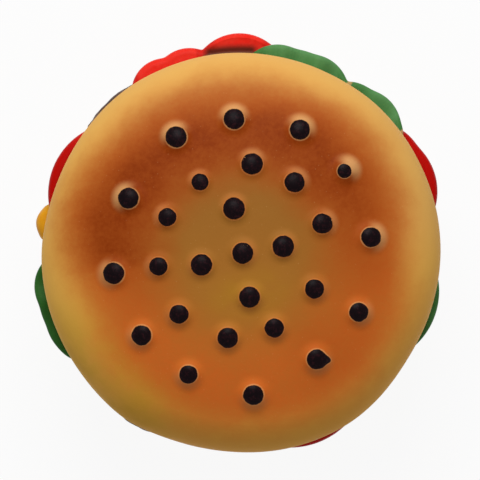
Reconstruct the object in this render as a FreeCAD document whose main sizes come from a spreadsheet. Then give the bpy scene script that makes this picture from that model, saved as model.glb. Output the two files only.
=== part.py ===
import FreeCAD, Part
import math
import os
import Sketcher
from types import SimpleNamespace

# Novelty telephone in the shape of a hamburger, closed, in millimetres.
# The origin is the middle of the rest plane, Z is up, the front opens at -Y and the hinge is at +Y.

SIZES = {
    # the whole form
    "bun_radius": 65.0,
    "shell_wall": 2.5,
    "fit_gap": 0.3,
    "seat_gap": 0.1,
    "weld": 0.2,
    "cut_past": 1.0,
    # the stack, from the table up
    "foot_rise": 1.5,
    "lower_bun_height": 24.0,
    "patty_height": 13.0,
    "cheese_thickness": 2.4,
    "seam_gap": 0.4,
    "tomato_thickness": 5.0,
    "lettuce_thickness": 3.0,
    "upper_bun_height": 36.0,
    # upper bun
    "shoulder_height": 11.0,
    "shoulder_radius": 16.0,
    "rim_lip": 4.0,
    "seed_radius": 3.9,
    "seed_sink": 1.6,
    "seed_ring_near": 14.2,
    "seed_ring_mid": 27.6,
    "seed_ring_far": 43.2,
    "boss_inset": 6.0,
    "boss_radius": 3.4,
    # fillings
    "filling_inset": 5.0,
    "lettuce_overhang": 4.4,
    "lettuce_edge": 1.3,
    "tomato_overhang": 6.7,
    "tomato_edge": 2.2,
    "patty_overhang": 1.1,
    "patty_inset": 3.2,
    "patty_top_round": 3.5,
    "patty_low_round": 2.5,
    "patty_lump_inset": 1.5,
    "deck_thickness": 2.5,
    "cheese_land": 3.0,
    "cheese_corner": 3.0,
    "cheese_shift": 1.6,
    "cheese_trim": 4.0,
    "cheese_flap": 9.0,
    # ear plate and speaker
    "dish_radius": 44.0,
    "dish_depth": 3.5,
    "ear_wall": 2.0,
    "dust_lip": 1.2,
    "ear_flange": 5.7,
    "grille_hole": 1.15,
    "grille_pitch": 5.0,
    "speaker_radius": 18.5,
    "speaker_rim": 3.5,
    "speaker_plate": 1.2,
    "speaker_depth": 9.4,
    "speaker_neck": 10.0,
    "coil_radius": 5.0,
    "cone_wall": 0.6,
    "magnet_radius": 9.0,
    "magnet_height": 6.0,
    "gasket_thickness": 1.0,
    "clamp_thickness": 1.5,
    "clamp_post_radius": 2.2,
    # lower bun
    "lower_inset": 2.0,
    "base_corner": 15.0,
    "side_radius": 34.0,
    "lip_wall": 1.8,
    "lip_depth": 2.5,
    "foot_inset": 4.0,
    "foot_ring_width": 8.0,
    "foot_groove": 1.0,
    "post_inset": 11.0,
    "post_radius": 5.2,
    "post_height": 13.0,
    "post_ledge": 4.0,
    "stem_boss_radius": 3.8,
    # hinge
    "hinge_reach": 3.2,
    "hinge_drop": 6.0,
    "barrel_radius": 3.0,
    "pin_radius": 1.25,
    "pin_play": 0.05,
    "pin_end": 0.4,
    "knuckle_half": 5.6,
    "lug_width": 4.6,
    "lug_root": 3.4,
    "hinge_room": 1.0,
    "bracket_thickness": 2.0,
    "bracket_clear": 1.7,
    # screws
    "screw_radius": 1.25,
    "screw_head": 2.6,
    "screw_head_height": 1.6,
    "screw_play": 0.15,
    "lid_screw_length": 10.0,
    "board_screw_length": 6.0,
    "base_screw_length": 16.0,
    "clamp_screw_length": 3.2,
    "bracket_screw_length": 4.6,
    # keypad
    "key_width": 13.0,
    "key_depth": 9.6,
    "key_corner": 2.2,
    "key_edge": 1.1,
    "key_rise": 3.4,
    "key_flange": 0.8,
    "key_flange_thickness": 1.4,
    "key_step_across": 18.0,
    "hook_to_keys": 12.7,
    "side_to_keys": 15.0,
    "side_key_width": 11.0,
    "side_key_depth": 6.4,
    "side_key_across": 14.0,
    "side_key_inset": 8.7,
    "dome_height": 2.3,
    "dome_radius": 4.2,
    "side_dome_radius": 2.6,
    "dome_taper": 1.0,
    "web_thickness": 1.0,
    "web_margin": 1.0,
    # circuit board and what stands on it
    "board_clear": 2.2,
    "board_thickness": 1.6,
    "board_post_inset": 7.5,
    "board_post_along": 14.0,
    "board_post_radius": 2.8,
    "chip_length": 22.0,
    "chip_width": 7.0,
    "chip_height": 3.6,
    "chip_left": 14.0,
    "chip_front": 7.0,
    "capacitor_radius": 4.0,
    "capacitor_height": 11.0,
    "capacitor_left": 22.0,
    "capacitor_back": 12.0,
    "capacitor_step": 10.0,
    "transformer_length": 16.0,
    "transformer_width": 14.0,
    "transformer_height": 12.0,
    "transformer_right": 20.8,
    "transformer_back": 7.0,
    # microphone
    "mic_inset": 6.0,
    "mic_radius": 4.8,
    "mic_height": 4.4,
    "mic_boot_wall": 1.1,
    "mic_hole": 0.8,
    "mic_hole_step": 2.4,
    # hook switch
    "hook_inset": 5.0,
    "hook_radius": 3.5,
    "hook_travel": 3.0,
    "hook_flange": 5.0,
    "hook_flange_thickness": 1.2,
    "hook_stem": 1.8,
    "hook_box_width": 13.0,
    "hook_box_depth": 12.0,
    "hook_box_height": 6.2,
    "hook_box_floor": 1.5,
    "hook_stem_tail": 1.4,
    "spring_radius": 3.4,
    "spring_wire": 0.35,
    "spring_turns": 4.5,
    # ringer
    "ringer_radius": 15.0,
    "ringer_height": 7.0,
    "ringer_wall": 1.2,
    "ringer_step": 1.3,
    "disc_thickness": 0.4,
    "disc_lift": 0.6,
    "ringer_hole": 1.1,
    "ringer_hole_ring": 8.0,
    # line jack
    "jack_width": 14.0,
    "jack_height": 12.0,
    "jack_depth": 15.0,
    "jack_lift": 9.5,
    "jack_inset": 1.8,
    "socket_width": 10.0,
    "socket_height": 8.2,
    "socket_depth": 12.5,
    "socket_floor": 1.8,
    "latch_width": 4.0,
    "latch_drop": 1.0,
    "contact_radius": 0.3,
    "contact_step": 1.27,
    "contact_length": 9.0,
    "contact_hang": 1.0,
    # slide switches under the base
    "switch_inset": 16.0,
    "switch_front": 18.0,
    "switch_length": 14.0,
    "switch_width": 7.0,
    "switch_height": 6.0,
    "switch_recess": 0.9,
    "slot_width": 3.4,
    "knob_length": 4.4,
    "knob_travel": 4.0,
    "knob_out": 0.6,
    "knob_flange": 0.8,
    "knob_flange_thickness": 1.0,
}

# Seeds: angle in degrees about the middle, ring by ring, as read from the photograph.
NEAR_SEEDS = (8, 98, 198, 282)
MID_SEEDS = (20, 52, 82, 120, 154, 189, 225, 261, 294, 334)
FAR_SEEDS = (7, 38, 64, 93, 119, 154, 189, 220, 247, 275, 306, 333)

# Lobes of the fillings: angle, lobe radius, and how far the lobe stops short of the full overhang.
LETTUCE_LOBES = (
    (45, 12.6, 0), (65, 12.6, 0), (78, 12.6, 0), (191, 12, 1.2), (202, 12, 1.2), (342, 22, 3.3),
    (132, 18, 5.4), (158, 18, 5.7), (232, 18, 5.6), (262, 18, 5.4), (290, 18, 5.7), (316, 18, 5.5),
    (10, 16, 5.6),
)
TOMATO_LOBES = (
    (90.5, 16.1, 0), (107, 12, 2.3), (116, 12, 2.6), (154, 21.6, 4.5), (25, 20, 3.6), (293, 24, 4.9),
    (200, 22, 7.6), (240, 22, 7.3), (334, 22, 7.5), (56, 18, 7.2),
)
PATTY_LUMPS = (
    (129, 14, 0), (240, 11, 0), (30, 20, 2.3), (204, 20, 2.2), (285, 22, 2.3), (316, 20, 2.5),
)
# The cheese is a square turned by this angle, and two of its corners hang down.
CHEESE_TURN = 35
CHEESE_CORNERS = (CHEESE_TURN + 135, CHEESE_TURN + 315)
SCREW_ANGLES = (45, 135, 225, 315)
CLAMP_ANGLES = (30, 150, 270)
# Turns in each swept stretch of the coil spring.
COIL_STRETCH = 0.5
KEY_ROWS = (("key_1", "key_2", "key_3"), ("key_4", "key_5", "key_6"),
            ("key_7", "key_8", "key_9"), ("key_star", "key_0", "key_hash"))

doc = FreeCAD.newDocument("burger_telephone")
sheet = doc.addObject("Spreadsheet::Sheet", "sizes")
for row, (alias, amount) in enumerate(SIZES.items(), 1):
    sheet.set("A%d" % row, alias)
    sheet.set("B%d" % row, str(amount))
    sheet.setAlias("B%d" % row, alias)
doc.recompute()


class Size:
    """A number together with the sheet expression it comes from."""

    def __init__(self, value, text=None):
        self.value = float(value)
        self.text = text or "(%.9g)" % self.value

    def __add__(self, other):
        other = size(other)
        return Size(self.value + other.value, "(%s + %s)" % (self.text, other.text))

    def __sub__(self, other):
        other = size(other)
        return Size(self.value - other.value, "(%s - %s)" % (self.text, other.text))

    def __mul__(self, other):
        other = size(other)
        return Size(self.value * other.value, "(%s * %s)" % (self.text, other.text))

    def __truediv__(self, other):
        other = size(other)
        return Size(self.value / other.value, "(%s / %s)" % (self.text, other.text))

    def __neg__(self):
        return Size(-self.value, "(-1 * %s)" % self.text)

    def __radd__(self, other):
        return size(other) + self

    def __rsub__(self, other):
        return size(other) - self

    def __rmul__(self, other):
        return size(other) * self


def size(number):
    return number if isinstance(number, Size) else Size(number)


def root(number):
    return Size(math.sqrt(number.value), "sqrt(%s)" % number.text)


def larger(first, second):
    return Size(max(first.value, second.value), "max(%s; %s)" % (first.text, second.text))


def around(radius, angle):
    """The X and Y of a point at a radius and an angle in degrees."""
    turn = math.radians(angle)
    return size(radius) * round(math.cos(turn), 9), size(radius) * round(math.sin(turn), 9)


d = SimpleNamespace(**{alias: Size(sheet.get(alias), "sizes." + alias) for alias in SIZES})


def bind(item, prop, number):
    item.setExpression(prop, size(number).text)


def place(item, x=0, y=0, z=0, axis=(0, 0, 1), angle=0):
    turn = FreeCAD.Rotation(FreeCAD.Vector(*axis), angle)
    here = FreeCAD.Vector(size(x).value, size(y).value, size(z).value)
    item.Placement = FreeCAD.Placement(here, turn)
    bind(item, "Placement.Base.x", x)
    bind(item, "Placement.Base.y", y)
    bind(item, "Placement.Base.z", z)
    return item


def rod(name, radius, height, x=0, y=0, z=0, along="z"):
    """A cylinder that starts at a point and runs along one axis."""
    item = doc.addObject("Part::Cylinder", name)
    bind(item, "Radius", radius)
    bind(item, "Height", height)
    turns = {"z": ((0, 0, 1), 0), "x": ((0, 1, 0), 90), "y": ((1, 0, 0), -90)}
    return place(item, x, y, z, *turns[along])


def block(name, length, width, height, x=0, y=0, z=0):
    """A box centred on X and Y that stands on Z."""
    item = doc.addObject("Part::Box", name)
    bind(item, "Length", length)
    bind(item, "Width", width)
    bind(item, "Height", height)
    return place(item, x - size(length) / 2, y - size(width) / 2, z)


def joined(name, *pieces):
    item = doc.addObject("Part::MultiFuse", name)
    item.Shapes = list(pieces)
    item.Refine = True
    return item


def trimmed(name, base, *tools):
    item = doc.addObject("Part::Cut", name)
    item.Base = base
    item.Tool = tools[0] if len(tools) == 1 else joined(name + "_tools", *tools)
    item.Refine = True
    return item


def shared(name, first, second):
    item = doc.addObject("Part::Common", name)
    item.Base = first
    item.Tool = second
    return item


def group(name, *pieces):
    item = doc.addObject("Part::Compound", name)
    item.Links = list(pieces)
    return item


def arc_between(start, end, bend):
    """The circular arc from start to end; a positive bend turns left and a negative one right."""
    side = 1 if bend > 0 else -1
    across = end - start
    reach = math.sqrt(max(bend * bend - across.Length ** 2 / 4, 0))
    left = FreeCAD.Vector(-across.y, across.x, 0).normalize()
    middle = (start + end) / 2 + left * (side * reach)
    first, last = (start, end) if side > 0 else (end, start)
    angles = [math.atan2(p.y - middle.y, p.x - middle.x) for p in (first, last)]
    if angles[1] < angles[0]:
        angles[1] += 2 * math.pi
    return Part.ArcOfCircle(Part.Circle(middle, FreeCAD.Vector(0, 0, 1), abs(bend)), *angles)


def outline(body, name, role, points):
    """A closed sketch: each point is (x, y), or (x, y, bend) where an arc leads to it."""
    sketch = body.newObject("Sketcher::SketchObject", name)
    plane = [part for part in body.Origin.OriginFeatures if part.Role == role][0]
    sketch.AttachmentSupport = (plane, [""])
    sketch.MapMode = "FlatFace"
    spots = [FreeCAD.Vector(size(p[0]).value, size(p[1]).value, 0) for p in points]
    ends = []
    for index, point in enumerate(points):
        start, end = spots[index - 1], spots[index]
        bend = size(point[2]) if len(point) > 2 else None
        edge = arc_between(start, end, bend.value) if bend else Part.LineSegment(start, end)
        number = sketch.addGeometry(edge)
        ends.append((number, 1, 2) if not bend or bend.value > 0 else (number, 2, 1))
        if bend:
            rule = sketch.addConstraint(Sketcher.Constraint("Radius", number, abs(bend.value)))
            bind(sketch, "Constraints[%d]" % rule, bend if bend.value > 0 else -bend)
    for index, (number, first, last) in enumerate(ends):
        after, start_of_next, _ = ends[(index + 1) % len(ends)]
        sketch.addConstraint(Sketcher.Constraint("Coincident", number, last, after, start_of_next))
        for kind, axis, amount in (("DistanceX", -2, points[index][0]), ("DistanceY", -1, points[index][1])):
            amount = size(amount)
            if abs(amount.value) < 1e-9:
                sketch.addConstraint(Sketcher.Constraint("PointOnObject", number, last, axis))
                continue
            rule = sketch.addConstraint(Sketcher.Constraint(kind, -1, 1, number, last, amount.value))
            bind(sketch, "Constraints[%d]" % rule, amount)
    return sketch


def turned(name, points, x=0, y=0, z=0):
    """A body turned about its own Z axis from (radius, height) points."""
    body = doc.addObject("PartDesign::Body", name)
    sketch = outline(body, name + "_profile", "XZ_Plane", points)
    turn = body.newObject("PartDesign::Revolution", name + "_turn")
    turn.Profile = sketch
    turn.ReferenceAxis = (sketch, ["V_Axis"])
    turn.Angle = 360
    body.Tip = turn
    return place(body, x, y, z)


def rounded(width, depth, corner):
    """The points of a rectangle with rounded corners, centred on its sketch."""
    far, near = width / 2, width / 2 - corner
    top, low = depth / 2, depth / 2 - corner
    return [(-near, -top), (near, -top), (far, -low, corner), (far, low), (near, top, corner),
            (-near, top), (-far, low, corner), (-far, -low), (-near, -top, corner)][1:]


def padded(body, name, points, height):
    sketch = outline(body, name + "_outline", "XY_Plane", points)
    pad = body.newObject("PartDesign::Pad", name + "_pad")
    pad.Profile = sketch
    bind(pad, "Length", height)
    body.Tip = pad
    return pad


def slab(name, width, depth, corner, height, x=0, y=0, z=0):
    """A rounded rectangle padded upwards."""
    body = doc.addObject("PartDesign::Body", name)
    padded(body, name, rounded(width, depth, corner), height)
    return place(body, x, y, z)


def soft_disc(name, radius, thickness, edge, x=0, y=0, z=0):
    """A disc whose upper and lower rims are rounded."""
    radius = size(radius)
    return turned(name, [(0, 0), (radius - edge, 0), (radius, edge, edge), (radius, thickness - edge),
                         (radius - edge, thickness, edge), (0, thickness)], x, y, z)


def lobed(name, reach, lobes, thickness, edge, z):
    """Soft discs set round the middle so that each one reaches its own distance out."""
    discs = []
    for angle, lobe, short in lobes:
        x, y = around(reach - short - lobe, angle)
        discs.append(soft_disc("%s_%d" % (name, angle), lobe, thickness, edge, x, y, z))
    return discs


def screw(name, length, x, y, z, up=1):
    """A pan head screw with its head bearing on Z; the shank runs up or down from there."""
    head_z = z - d.screw_head_height if up > 0 else z
    shank_z = z if up > 0 else z - length
    head = rod(name + "_head", d.screw_head, d.screw_head_height, x, y, head_z)
    return joined(name, head, rod(name + "_shank", d.screw_radius, length, x, y, shank_z))


def screw_hole(name, length, x, y, z):
    return rod(name, d.screw_radius + d.screw_play, length, x, y, z)


# Heights of the stack
z_base = d.foot_rise
z_joint = z_base + d.lower_bun_height
z_deck = z_joint + d.patty_height
z_cheese = z_deck + d.cheese_thickness
z_lid = z_cheese + d.seam_gap
z_tomato = z_lid + d.tomato_thickness
z_rim = z_tomato + d.lettuce_thickness
z_crown = z_rim + d.upper_bun_height

# Places that follow the dish of the ear plate: the keypad, the hook and the microphone lie inside it
dish_inner = d.dish_radius - d.ear_wall
boss_ring = dish_inner - d.boss_inset
hook_back = dish_inner - d.hook_inset
mic_down = dish_inner - d.mic_inset
side_key_down = dish_inner - d.side_key_inset
top_row = hook_back - d.hook_to_keys
low_row = d.side_to_keys - side_key_down
key_step_down = (top_row - low_row) / (len(KEY_ROWS) - 1)
keypad_middle = (top_row + low_row) / 2

# Places that follow the lower bun: screw posts, board, foot ring, switches and jack
lower_radius = d.bun_radius - d.lower_inset
base_flat = lower_radius - d.base_corner
post_ring = lower_radius - d.post_inset
board_radius = post_ring - d.stem_boss_radius - d.board_clear
board_post_across = board_radius - d.board_post_inset
foot_outer = base_flat - d.foot_inset
foot_inner = foot_outer - d.foot_ring_width
switch_across = foot_inner - d.switch_inset
jack_back = lower_radius - d.jack_inset

# Upper bun: crown arc, shoulder arc and tucked-under arc, all tangent
z_wide = z_rim + d.shoulder_height
shoulder_mid = d.bun_radius - d.shoulder_radius
crown_lift = d.upper_bun_height - d.shoulder_height
crown_top = shoulder_mid * shoulder_mid + crown_lift * crown_lift - d.shoulder_radius * d.shoulder_radius
crown_radius = crown_top / (2 * (crown_lift - d.shoulder_radius))
z_crown_mid = z_crown - crown_radius
rim_radius = d.bun_radius - d.shoulder_height


def bun_line(inset):
    """The crown, shoulder and tuck of the upper bun, set in from the skin by an inset."""
    share = (crown_radius - inset) / (crown_radius - d.shoulder_radius)
    return [(0, z_crown - inset),
            (shoulder_mid * share, z_crown_mid + (crown_radius - crown_lift) * share, inset - crown_radius),
            (d.bun_radius - inset, z_wide, inset - d.shoulder_radius),
            (rim_radius, z_rim + inset, inset - d.shoulder_height)]


def crown_height(radius, inset):
    reach = crown_radius - inset
    return z_crown_mid + root(reach * reach - radius * radius)


bun_skin = turned("bun_skin", bun_line(size(0)) + [(0, z_rim)])
rim_open = rim_radius - d.rim_lip
z_open = z_rim - d.cut_past
bun_hollow = turned("bun_hollow", bun_line(d.shell_wall)
                    + [(rim_open, z_rim + d.shell_wall), (rim_open, z_open), (0, z_open)])
seeds = []
for ring, angles in ((size(0), (0,)), (d.seed_ring_near, NEAR_SEEDS),
                     (d.seed_ring_mid, MID_SEEDS), (d.seed_ring_far, FAR_SEEDS)):
    for angle in angles:
        seed = doc.addObject("Part::Sphere", "seed")
        bind(seed, "Radius", d.seed_radius)
        seeds.append(place(seed, *around(ring, angle), crown_height(ring, size(0)) - d.seed_sink))
bun_hull = trimmed("bun_hull", joined("seeded_skin", bun_skin, *seeds), bun_hollow)

# Ear plate: a shallow dish that closes the lid from below, with a sound grille and a dust lip
ear_radius = d.dish_radius + d.ear_flange
z_ear_floor = z_lid + d.dish_depth
z_ear_top = z_ear_floor + d.ear_wall
ear_dish = turned("ear_dish", [
    (0, z_ear_floor), (dish_inner, z_ear_floor), (dish_inner, z_lid - d.dust_lip),
    (d.dish_radius, z_lid - d.dust_lip), (d.dish_radius, z_lid), (ear_radius, z_lid),
    (ear_radius, z_lid + d.ear_wall), (d.dish_radius, z_lid + d.ear_wall), (d.dish_radius, z_ear_top),
    (0, z_ear_top)])
z_speaker = z_ear_top + d.gasket_thickness
z_clamp = z_speaker + d.speaker_plate
clamp_ring = d.speaker_radius + d.fit_gap + d.clamp_post_radius
ear_posts = []
ear_cuts = []
for angle in CLAMP_ANGLES:
    x, y = around(clamp_ring, angle)
    ear_posts.append(rod("clamp_post", d.clamp_post_radius, z_clamp - z_ear_floor, x, y, z_ear_floor))
    ear_cuts.append(screw_hole("clamp_hole", z_clamp - z_ear_floor, x, y, z_ear_floor + d.ear_wall / 2))
for ring, count in ((0, 1), (1, 6), (2, 12)):
    for index in range(count):
        x, y = around(d.grille_pitch * ring, 360 / count * index)
        ear_cuts.append(rod("grille", d.grille_hole, d.ear_wall + 2 * d.cut_past, x, y,
                            z_ear_floor - d.cut_past))

# Screws through the ear plate into bosses of the bun
boss_inner = boss_ring - d.boss_radius
boss_top = crown_height(boss_inner, d.shell_wall) + d.weld
bosses = []
boss_holes = []
lid_screws = []
for angle in SCREW_ANGLES:
    x, y = around(boss_ring, angle)
    bosses.append(rod("bun_boss", d.boss_radius, boss_top - z_ear_top, x, y, z_ear_top))
    boss_holes.append(screw_hole("boss_hole", d.lid_screw_length + d.fit_gap, x, y, z_ear_floor))
    ear_cuts.append(screw_hole("ear_hole", d.ear_wall + 2 * d.cut_past, x, y, z_ear_floor - d.cut_past))
    lid_screws.append(screw("lid_screw", d.lid_screw_length, x, y, z_ear_floor))
upper_bun_shell = trimmed("upper_bun_shell", joined("bossed_bun", bun_hull, *bosses), *boss_holes)
ear_plate = trimmed("ear_plate", joined("ear_body", ear_dish, *ear_posts), *ear_cuts)
ear_plate_screws = group("ear_plate_screws", *lid_screws)

# Speaker, face down on the ear plate
speaker_hole = d.speaker_radius - d.speaker_rim
basket_root = speaker_hole + d.speaker_plate
neck_hole = d.coil_radius + d.fit_gap
z_neck = d.speaker_depth - d.speaker_plate
speaker_basket = turned("speaker_basket", [
    (speaker_hole, 0), (d.speaker_radius, 0), (d.speaker_radius, d.speaker_plate),
    (basket_root, d.speaker_plate), (d.speaker_neck, z_neck),
    (d.speaker_neck, d.speaker_depth), (neck_hole, d.speaker_depth), (neck_hole, z_neck),
    (d.speaker_neck - d.speaker_plate, z_neck), (speaker_hole, d.speaker_plate)], z=z_speaker)
cone_rim = speaker_hole - d.fit_gap
z_cone = d.speaker_depth / 2 + d.speaker_plate
coil_inner = d.coil_radius - d.cone_wall
speaker_cone = turned("speaker_cone", [
    (cone_rim, d.seat_gap), (cone_rim, d.seat_gap + d.cone_wall), (d.coil_radius, z_cone + d.cone_wall),
    (d.coil_radius, d.speaker_depth - d.fit_gap), (coil_inner, d.speaker_depth - d.fit_gap),
    (coil_inner, z_cone)], z=z_speaker)
speaker_magnet = rod("speaker_magnet", d.magnet_radius, d.magnet_height, z=z_speaker + d.speaker_depth)
speaker_gasket = trimmed("speaker_gasket",
                         rod("gasket_disc", d.speaker_radius, d.gasket_thickness, z=z_ear_top),
                         rod("gasket_hole", speaker_hole, d.gasket_thickness, z=z_ear_top))
clamp_outer = clamp_ring + d.clamp_post_radius
clamp_screws = []
clamp_cuts = [rod("clamp_bore", basket_root + d.fit_gap, d.clamp_thickness, z=z_clamp)]
for angle in CLAMP_ANGLES:
    x, y = around(clamp_ring, angle)
    clamp_cuts.append(screw_hole("clamp_pass", d.clamp_thickness, x, y, z_clamp))
    clamp_screws.append(screw("clamp_screw", d.clamp_screw_length, x, y, z_clamp + d.clamp_thickness, -1))
speaker_clamp = trimmed("speaker_clamp", rod("clamp_disc", clamp_outer, d.clamp_thickness, z=z_clamp),
                        *clamp_cuts)
speaker_screws = group("speaker_screws", *clamp_screws)

# Hinge axis behind the patty
patty_radius = d.bun_radius - d.patty_inset
hinge_y = patty_radius + d.hinge_reach
hinge_z = z_deck - d.hinge_drop
bracket_front = ear_radius + d.bracket_clear
bracket_length = hinge_y - bracket_front
bracket_mid = (bracket_front + hinge_y) / 2
bracket_top = z_lid + d.bracket_thickness
bracket_plate = block("bracket_plate", 2 * d.knuckle_half, bracket_length, d.bracket_thickness,
                      0, bracket_mid, z_lid)
bracket_arm = block("bracket_arm", 2 * d.knuckle_half, d.barrel_radius, bracket_top - hinge_z,
                    0, hinge_y - d.barrel_radius / 2, hinge_z)
knuckle = rod("knuckle", d.barrel_radius, 2 * d.knuckle_half, -d.knuckle_half, hinge_y, hinge_z, "x")
bracket_cuts = [rod("knuckle_bore", d.pin_radius + d.pin_play, 2 * (d.knuckle_half + d.cut_past),
                    -d.knuckle_half - d.cut_past, hinge_y, hinge_z, "x")]
bracket_fixings = []
tomato_cuts = []
for side in (-1, 1):
    x = d.knuckle_half / 2 * side
    bracket_cuts.append(screw_hole("bracket_hole", d.bracket_thickness, x, bracket_mid, z_lid))
    bracket_cuts.append(rod("bracket_sink", d.screw_head + d.screw_play, d.screw_head_height,
                            x, bracket_mid, z_lid))
    bracket_fixings.append(screw("bracket_screw", d.bracket_screw_length - d.screw_head_height,
                                 x, bracket_mid, z_lid + d.screw_head_height))
    tomato_cuts.append(screw_hole("tomato_pilot", d.bracket_screw_length, x, bracket_mid, z_lid))
lid_hinge_bracket = trimmed("lid_hinge_bracket", joined("bracket_body", bracket_plate, bracket_arm, knuckle),
                            *bracket_cuts)
bracket_screws = group("bracket_screws", *bracket_fixings)
pin_half = d.knuckle_half + d.fit_gap + d.lug_width + d.pin_end
hinge_pin = rod("hinge_pin", d.pin_radius, 2 * pin_half, -pin_half, hinge_y, hinge_z, "x")

# Fillings of the lid
filling_radius = d.bun_radius - d.filling_inset
filling_hole = d.dish_radius + d.fit_gap
lettuce_layer = trimmed(
    "lettuce_layer",
    joined("lettuce_leaf", soft_disc("lettuce_disc", filling_radius, d.lettuce_thickness, d.lettuce_edge,
                                     z=z_tomato),
           *lobed("lettuce_lobe", d.bun_radius + d.lettuce_overhang, LETTUCE_LOBES, d.lettuce_thickness,
                  d.lettuce_edge, z_tomato)),
    rod("lettuce_hole", filling_hole, d.lettuce_thickness + 2 * d.cut_past, z=z_tomato - d.cut_past))
pocket_width = 2 * (d.knuckle_half + d.seat_gap)
pocket_length = bracket_length + d.seat_gap + d.fit_gap
pocket_mid = (bracket_front - d.seat_gap + hinge_y + d.fit_gap) / 2
tomato_layer = trimmed(
    "tomato_layer",
    joined("tomato_slices", soft_disc("tomato_disc", filling_radius, d.tomato_thickness, d.tomato_edge,
                                      z=z_lid),
           *lobed("tomato_lobe", d.bun_radius + d.tomato_overhang, TOMATO_LOBES, d.tomato_thickness,
                  d.tomato_edge, z_lid)),
    rod("tomato_hole", filling_hole, d.tomato_thickness + 2 * d.cut_past, z=z_lid - d.cut_past),
    rod("tomato_rebate", ear_radius + d.fit_gap, d.ear_wall + d.cut_past, z=z_lid - d.cut_past),
    block("bracket_pocket", pocket_width, pocket_length, d.bracket_thickness + d.cut_past,
          0, pocket_mid, z_lid - d.cut_past),
    *tomato_cuts)

# Patty: the upper half of the base, with the keypad deck on top
side_mid = lower_radius - d.side_radius
side_lift = d.lower_bun_height - d.base_corner


def side_line(inset):
    reach = d.side_radius - inset
    return side_mid + root(reach * reach - side_lift * side_lift)


lip_radius = side_line(d.shell_wall) - 2 * d.seat_gap
lip_inner = lip_radius - d.lip_wall
z_deck_under = z_deck - d.deck_thickness
patty_disc = turned("patty_disc", [
    (0, z_deck), (patty_radius - d.patty_top_round, z_deck),
    (patty_radius, z_deck - d.patty_top_round, -d.patty_top_round),
    (patty_radius, z_joint + d.patty_low_round),
    (patty_radius - d.patty_low_round, z_joint, -d.patty_low_round), (lip_radius, z_joint),
    (lip_radius, z_joint - d.lip_depth), (lip_inner, z_joint - d.lip_depth), (lip_inner, z_deck_under),
    (0, z_deck_under)])
lump_height = d.patty_height - 2 * d.patty_lump_inset
lumps = trimmed(
    "patty_lumps",
    joined("lump_discs", *lobed("patty_lump", d.bun_radius + d.patty_overhang, PATTY_LUMPS, lump_height,
                                d.patty_top_round, z_joint + d.patty_lump_inset)),
    rod("lump_core", patty_radius - d.patty_top_round, d.patty_height, z=z_joint))
lug_length = hinge_y - patty_radius + d.lug_root
lug_mid = hinge_y - lug_length / 2
deck_adds = [lumps]
notch_depth = d.barrel_radius + d.hinge_room
deck_cuts = [rod("lug_bore", d.pin_radius + d.pin_play, 2 * (pin_half + d.cut_past),
                 -pin_half - d.cut_past, hinge_y, hinge_z, "x"),
             block("knuckle_notch", 2 * (d.knuckle_half + d.fit_gap), notch_depth,
                   d.patty_height + d.cut_past, 0, hinge_y - notch_depth / 2, z_joint)]
lug_x = d.knuckle_half + d.fit_gap + d.lug_width / 2
for side in (-1, 1):
    deck_adds.append(block("lug", d.lug_width, lug_length, 2 * d.barrel_radius, lug_x * side, lug_mid,
                           hinge_z - d.barrel_radius))
    deck_adds.append(rod("lug_eye", d.barrel_radius, d.lug_width, lug_x * side - d.lug_width / 2,
                         hinge_y, hinge_z, "x"))

# Keys stand on rubber domes over the circuit board
z_flange_top = z_deck_under - d.fit_gap
z_flange = z_flange_top - d.key_flange_thickness
z_web_top = z_flange - d.dome_height
z_board_top = z_web_top - d.web_thickness
z_board = z_board_top - d.board_thickness
key_height = z_deck + d.key_rise - z_flange
keypad = []
for line, names in enumerate(KEY_ROWS):
    for column, name in enumerate(names):
        keypad.append((name, d.key_step_across * (column - 1), top_row - key_step_down * line,
                       d.key_width, d.key_depth, d.dome_radius))
for name, side in (("redial_key", -1), ("flash_key", 1)):
    keypad.append((name, d.side_key_across * side, -side_key_down, d.side_key_width, d.side_key_depth,
                   d.side_dome_radius))
keys = []
domes = []
for name, x, y, width, depth, dome_radius in keypad:
    body = doc.addObject("PartDesign::Body", name)
    padded(body, name + "_flange", rounded(width + 2 * d.key_flange, depth + 2 * d.key_flange,
                                           d.key_corner + d.key_flange), d.key_flange_thickness)
    cap = padded(body, name + "_cap", rounded(width, depth, d.key_corner), key_height)
    place(body, x, y, z_flange)
    keys.append((body, cap))
    deck_cuts.append(slab("key_hole", width + 2 * d.fit_gap, depth + 2 * d.fit_gap, d.key_corner + d.fit_gap,
                          d.deck_thickness + 2 * d.cut_past, x, y, z_deck_under - d.cut_past))
    dome = doc.addObject("Part::Cone", "dome")
    bind(dome, "Radius1", dome_radius)
    bind(dome, "Radius2", dome_radius - d.dome_taper)
    bind(dome, "Height", d.dome_height)
    domes.append(place(dome, x, y, z_web_top))
doc.recompute()
for body, cap in keys:
    top = cap.Shape.BoundBox.ZMax
    rim = ["Edge%d" % number for number, edge in enumerate(cap.Shape.Edges, 1)
           if edge.BoundBox.ZMin > top - 1e-4]
    soften = body.newObject("PartDesign::Fillet", body.Name + "_soften")
    soften.Base = (cap, rim)
    bind(soften, "Radius", d.key_edge)
    body.Tip = soften

# Rubber sheet with one dome under each key
web_flange = 2 * (d.key_flange + d.web_margin)
web_width = 2 * d.key_step_across + d.key_width + web_flange
web_depth = top_row - low_row + d.key_depth + web_flange
tab_reach = side_key_down + keypad_middle
tabs = []
for side in (-1, 1):
    tabs.append(slab("web_tab", d.side_key_width + 2 * d.key_flange, tab_reach, d.key_corner,
                     d.web_thickness, d.side_key_across * side,
                     keypad_middle - tab_reach / 2 - d.side_key_depth / 2 - d.key_flange, z_board_top))
key_membrane = joined("key_membrane", slab("web", web_width, web_depth, d.key_corner, d.web_thickness,
                                           0, keypad_middle, z_board_top), *tabs, *domes)

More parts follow.
